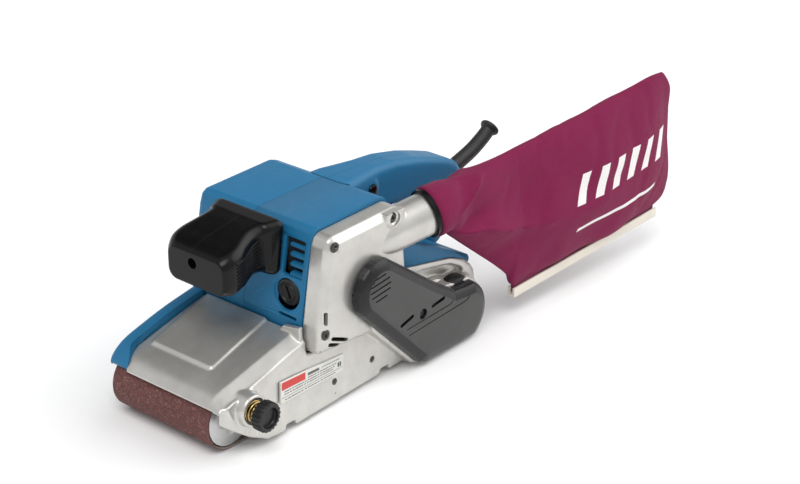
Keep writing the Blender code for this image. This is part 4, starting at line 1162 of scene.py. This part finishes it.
def bag_clip():
    half, height, slot, depth = 3.6, 9.0, 1.6, 6.0
    u_shape = fillet([(-half, -height), (half, -height), (half, 0), (slot, 0), (slot, -depth),
                      (-slot, -depth), (-slot, 0), (-half, 0)], [1.6, 1.6, 0.6, 0.6, 0.5, 0.5, 0.6, 0.6], 4)
    start, length, steps = 96, 180, 24
    stops = [start + length * (i / steps) for i in range(steps + 1)]
    rail = loft("bag_clip_rail", [[bag_point(s, side, rail_height(s) + drop) for side, drop in u_shape]
                                  for s in stops])
    finish_piece(rail, "bag_clip", IVORY, "ivory_plastic", "bag_clip", sharp=40)


# ---- stage, light and camera
SKY_BASE = 0.62
SKY = [((0.37, 0.62, 0.70), 0.86, 0.985, -0.56),      # a dark far side, seen in the tops
       ((0.69, -0.45, 0.66), 0.78, 0.96, 1.9)]        # a soft box, seen in the near bevels
KEY_FROM, KEY_SPREAD, KEY_STRENGTH = Vector((-0.42, -0.30, 1.0)), 34, 1.35
LENS, SENSOR = 87.03, 36.0
CAMERA_SPOT, CAMERA_AIM = Vector((-957.2, -915.4, 751.9)), Vector((133.8, 0.0, 57.2))


def floor_plate():
    edge = 6000
    floor = plate("floor", [(-edge, -edge), (edge, -edge), (edge, edge), (-edge, edge)], -1.2, -0.2, "z")
    floor.data.materials.append(moulded("pale_floor", (0.94, 0.94, 0.94), 0.9, 0.01, 0.0, 50,
                                        Specular_IOR_Level=0.0))


def sky():
    """An even soft sky; each lobe is a direction, the cosines of its rim and core, and its strength."""
    world = bpy.data.worlds.new("studio")
    world.use_nodes = True
    tree = world.node_tree
    place = new_node(tree, "ShaderNodeTexCoord").outputs["Generated"]
    total = None
    for direction, rim, core, strength in SKY:
        facing = new_node(tree, "ShaderNodeVectorMath", operation="DOT_PRODUCT")
        facing.inputs[1].default_value = Vector(direction).normalized()
        tree.links.new(place, facing.inputs[0])
        lobe = new_node(tree, "ShaderNodeMapRange", interpolation_type="SMOOTHSTEP")
        for socket, number in zip(list(lobe.inputs)[1:5], (rim, core, 0.0, strength)):
            socket.default_value = number
        tree.links.new(facing.outputs["Value"], lobe.inputs[0])
        add = new_node(tree, "ShaderNodeMath", operation="ADD")
        tree.links.new(lobe.outputs[0], add.inputs[0])
        if total is None:
            add.inputs[1].default_value = SKY_BASE
        else:
            tree.links.new(total, add.inputs[1])
        total = add.outputs[0]
    background = tree.nodes["Background"]
    tree.links.new(total, background.inputs["Strength"])
    background.inputs["Color"].default_value = (1.0, 1.0, 1.0, 1.0)
    bpy.context.scene.world = world
    bpy.context.scene.view_settings.view_transform = "Standard"


def key_light():
    """A broad sun from above."""
    lamp = bpy.data.lights.new("key", "SUN")
    lamp.angle = math.radians(KEY_SPREAD)
    lamp.energy = KEY_STRENGTH
    obj = add_object("key", lamp)
    obj.rotation_euler = (-KEY_FROM).to_track_quat("-Z", "Y").to_euler()


def camera():
    lens = bpy.data.cameras.new("camera")
    lens.lens = LENS
    lens.sensor_width = SENSOR
    obj = add_object("camera", lens)
    obj.location = CAMERA_SPOT * MM
    obj.rotation_euler = (CAMERA_AIM * MM - obj.location).to_track_quat("-Z", "Y").to_euler()
    bpy.context.scene.camera = obj


for build in (sanding_belt, frame_casting, bearing_cap, front_skirt, motor_housing, fan_housing,
              brush_caps, gear_cover, screws, belt_cover, rear_cover, handle, trigger, lock_button,
              cord_guard, front_grip, tracking_knob, label, dust_bag, bag_ring, bag_clip, floor_plate,
              sky, key_light, camera):
    build()
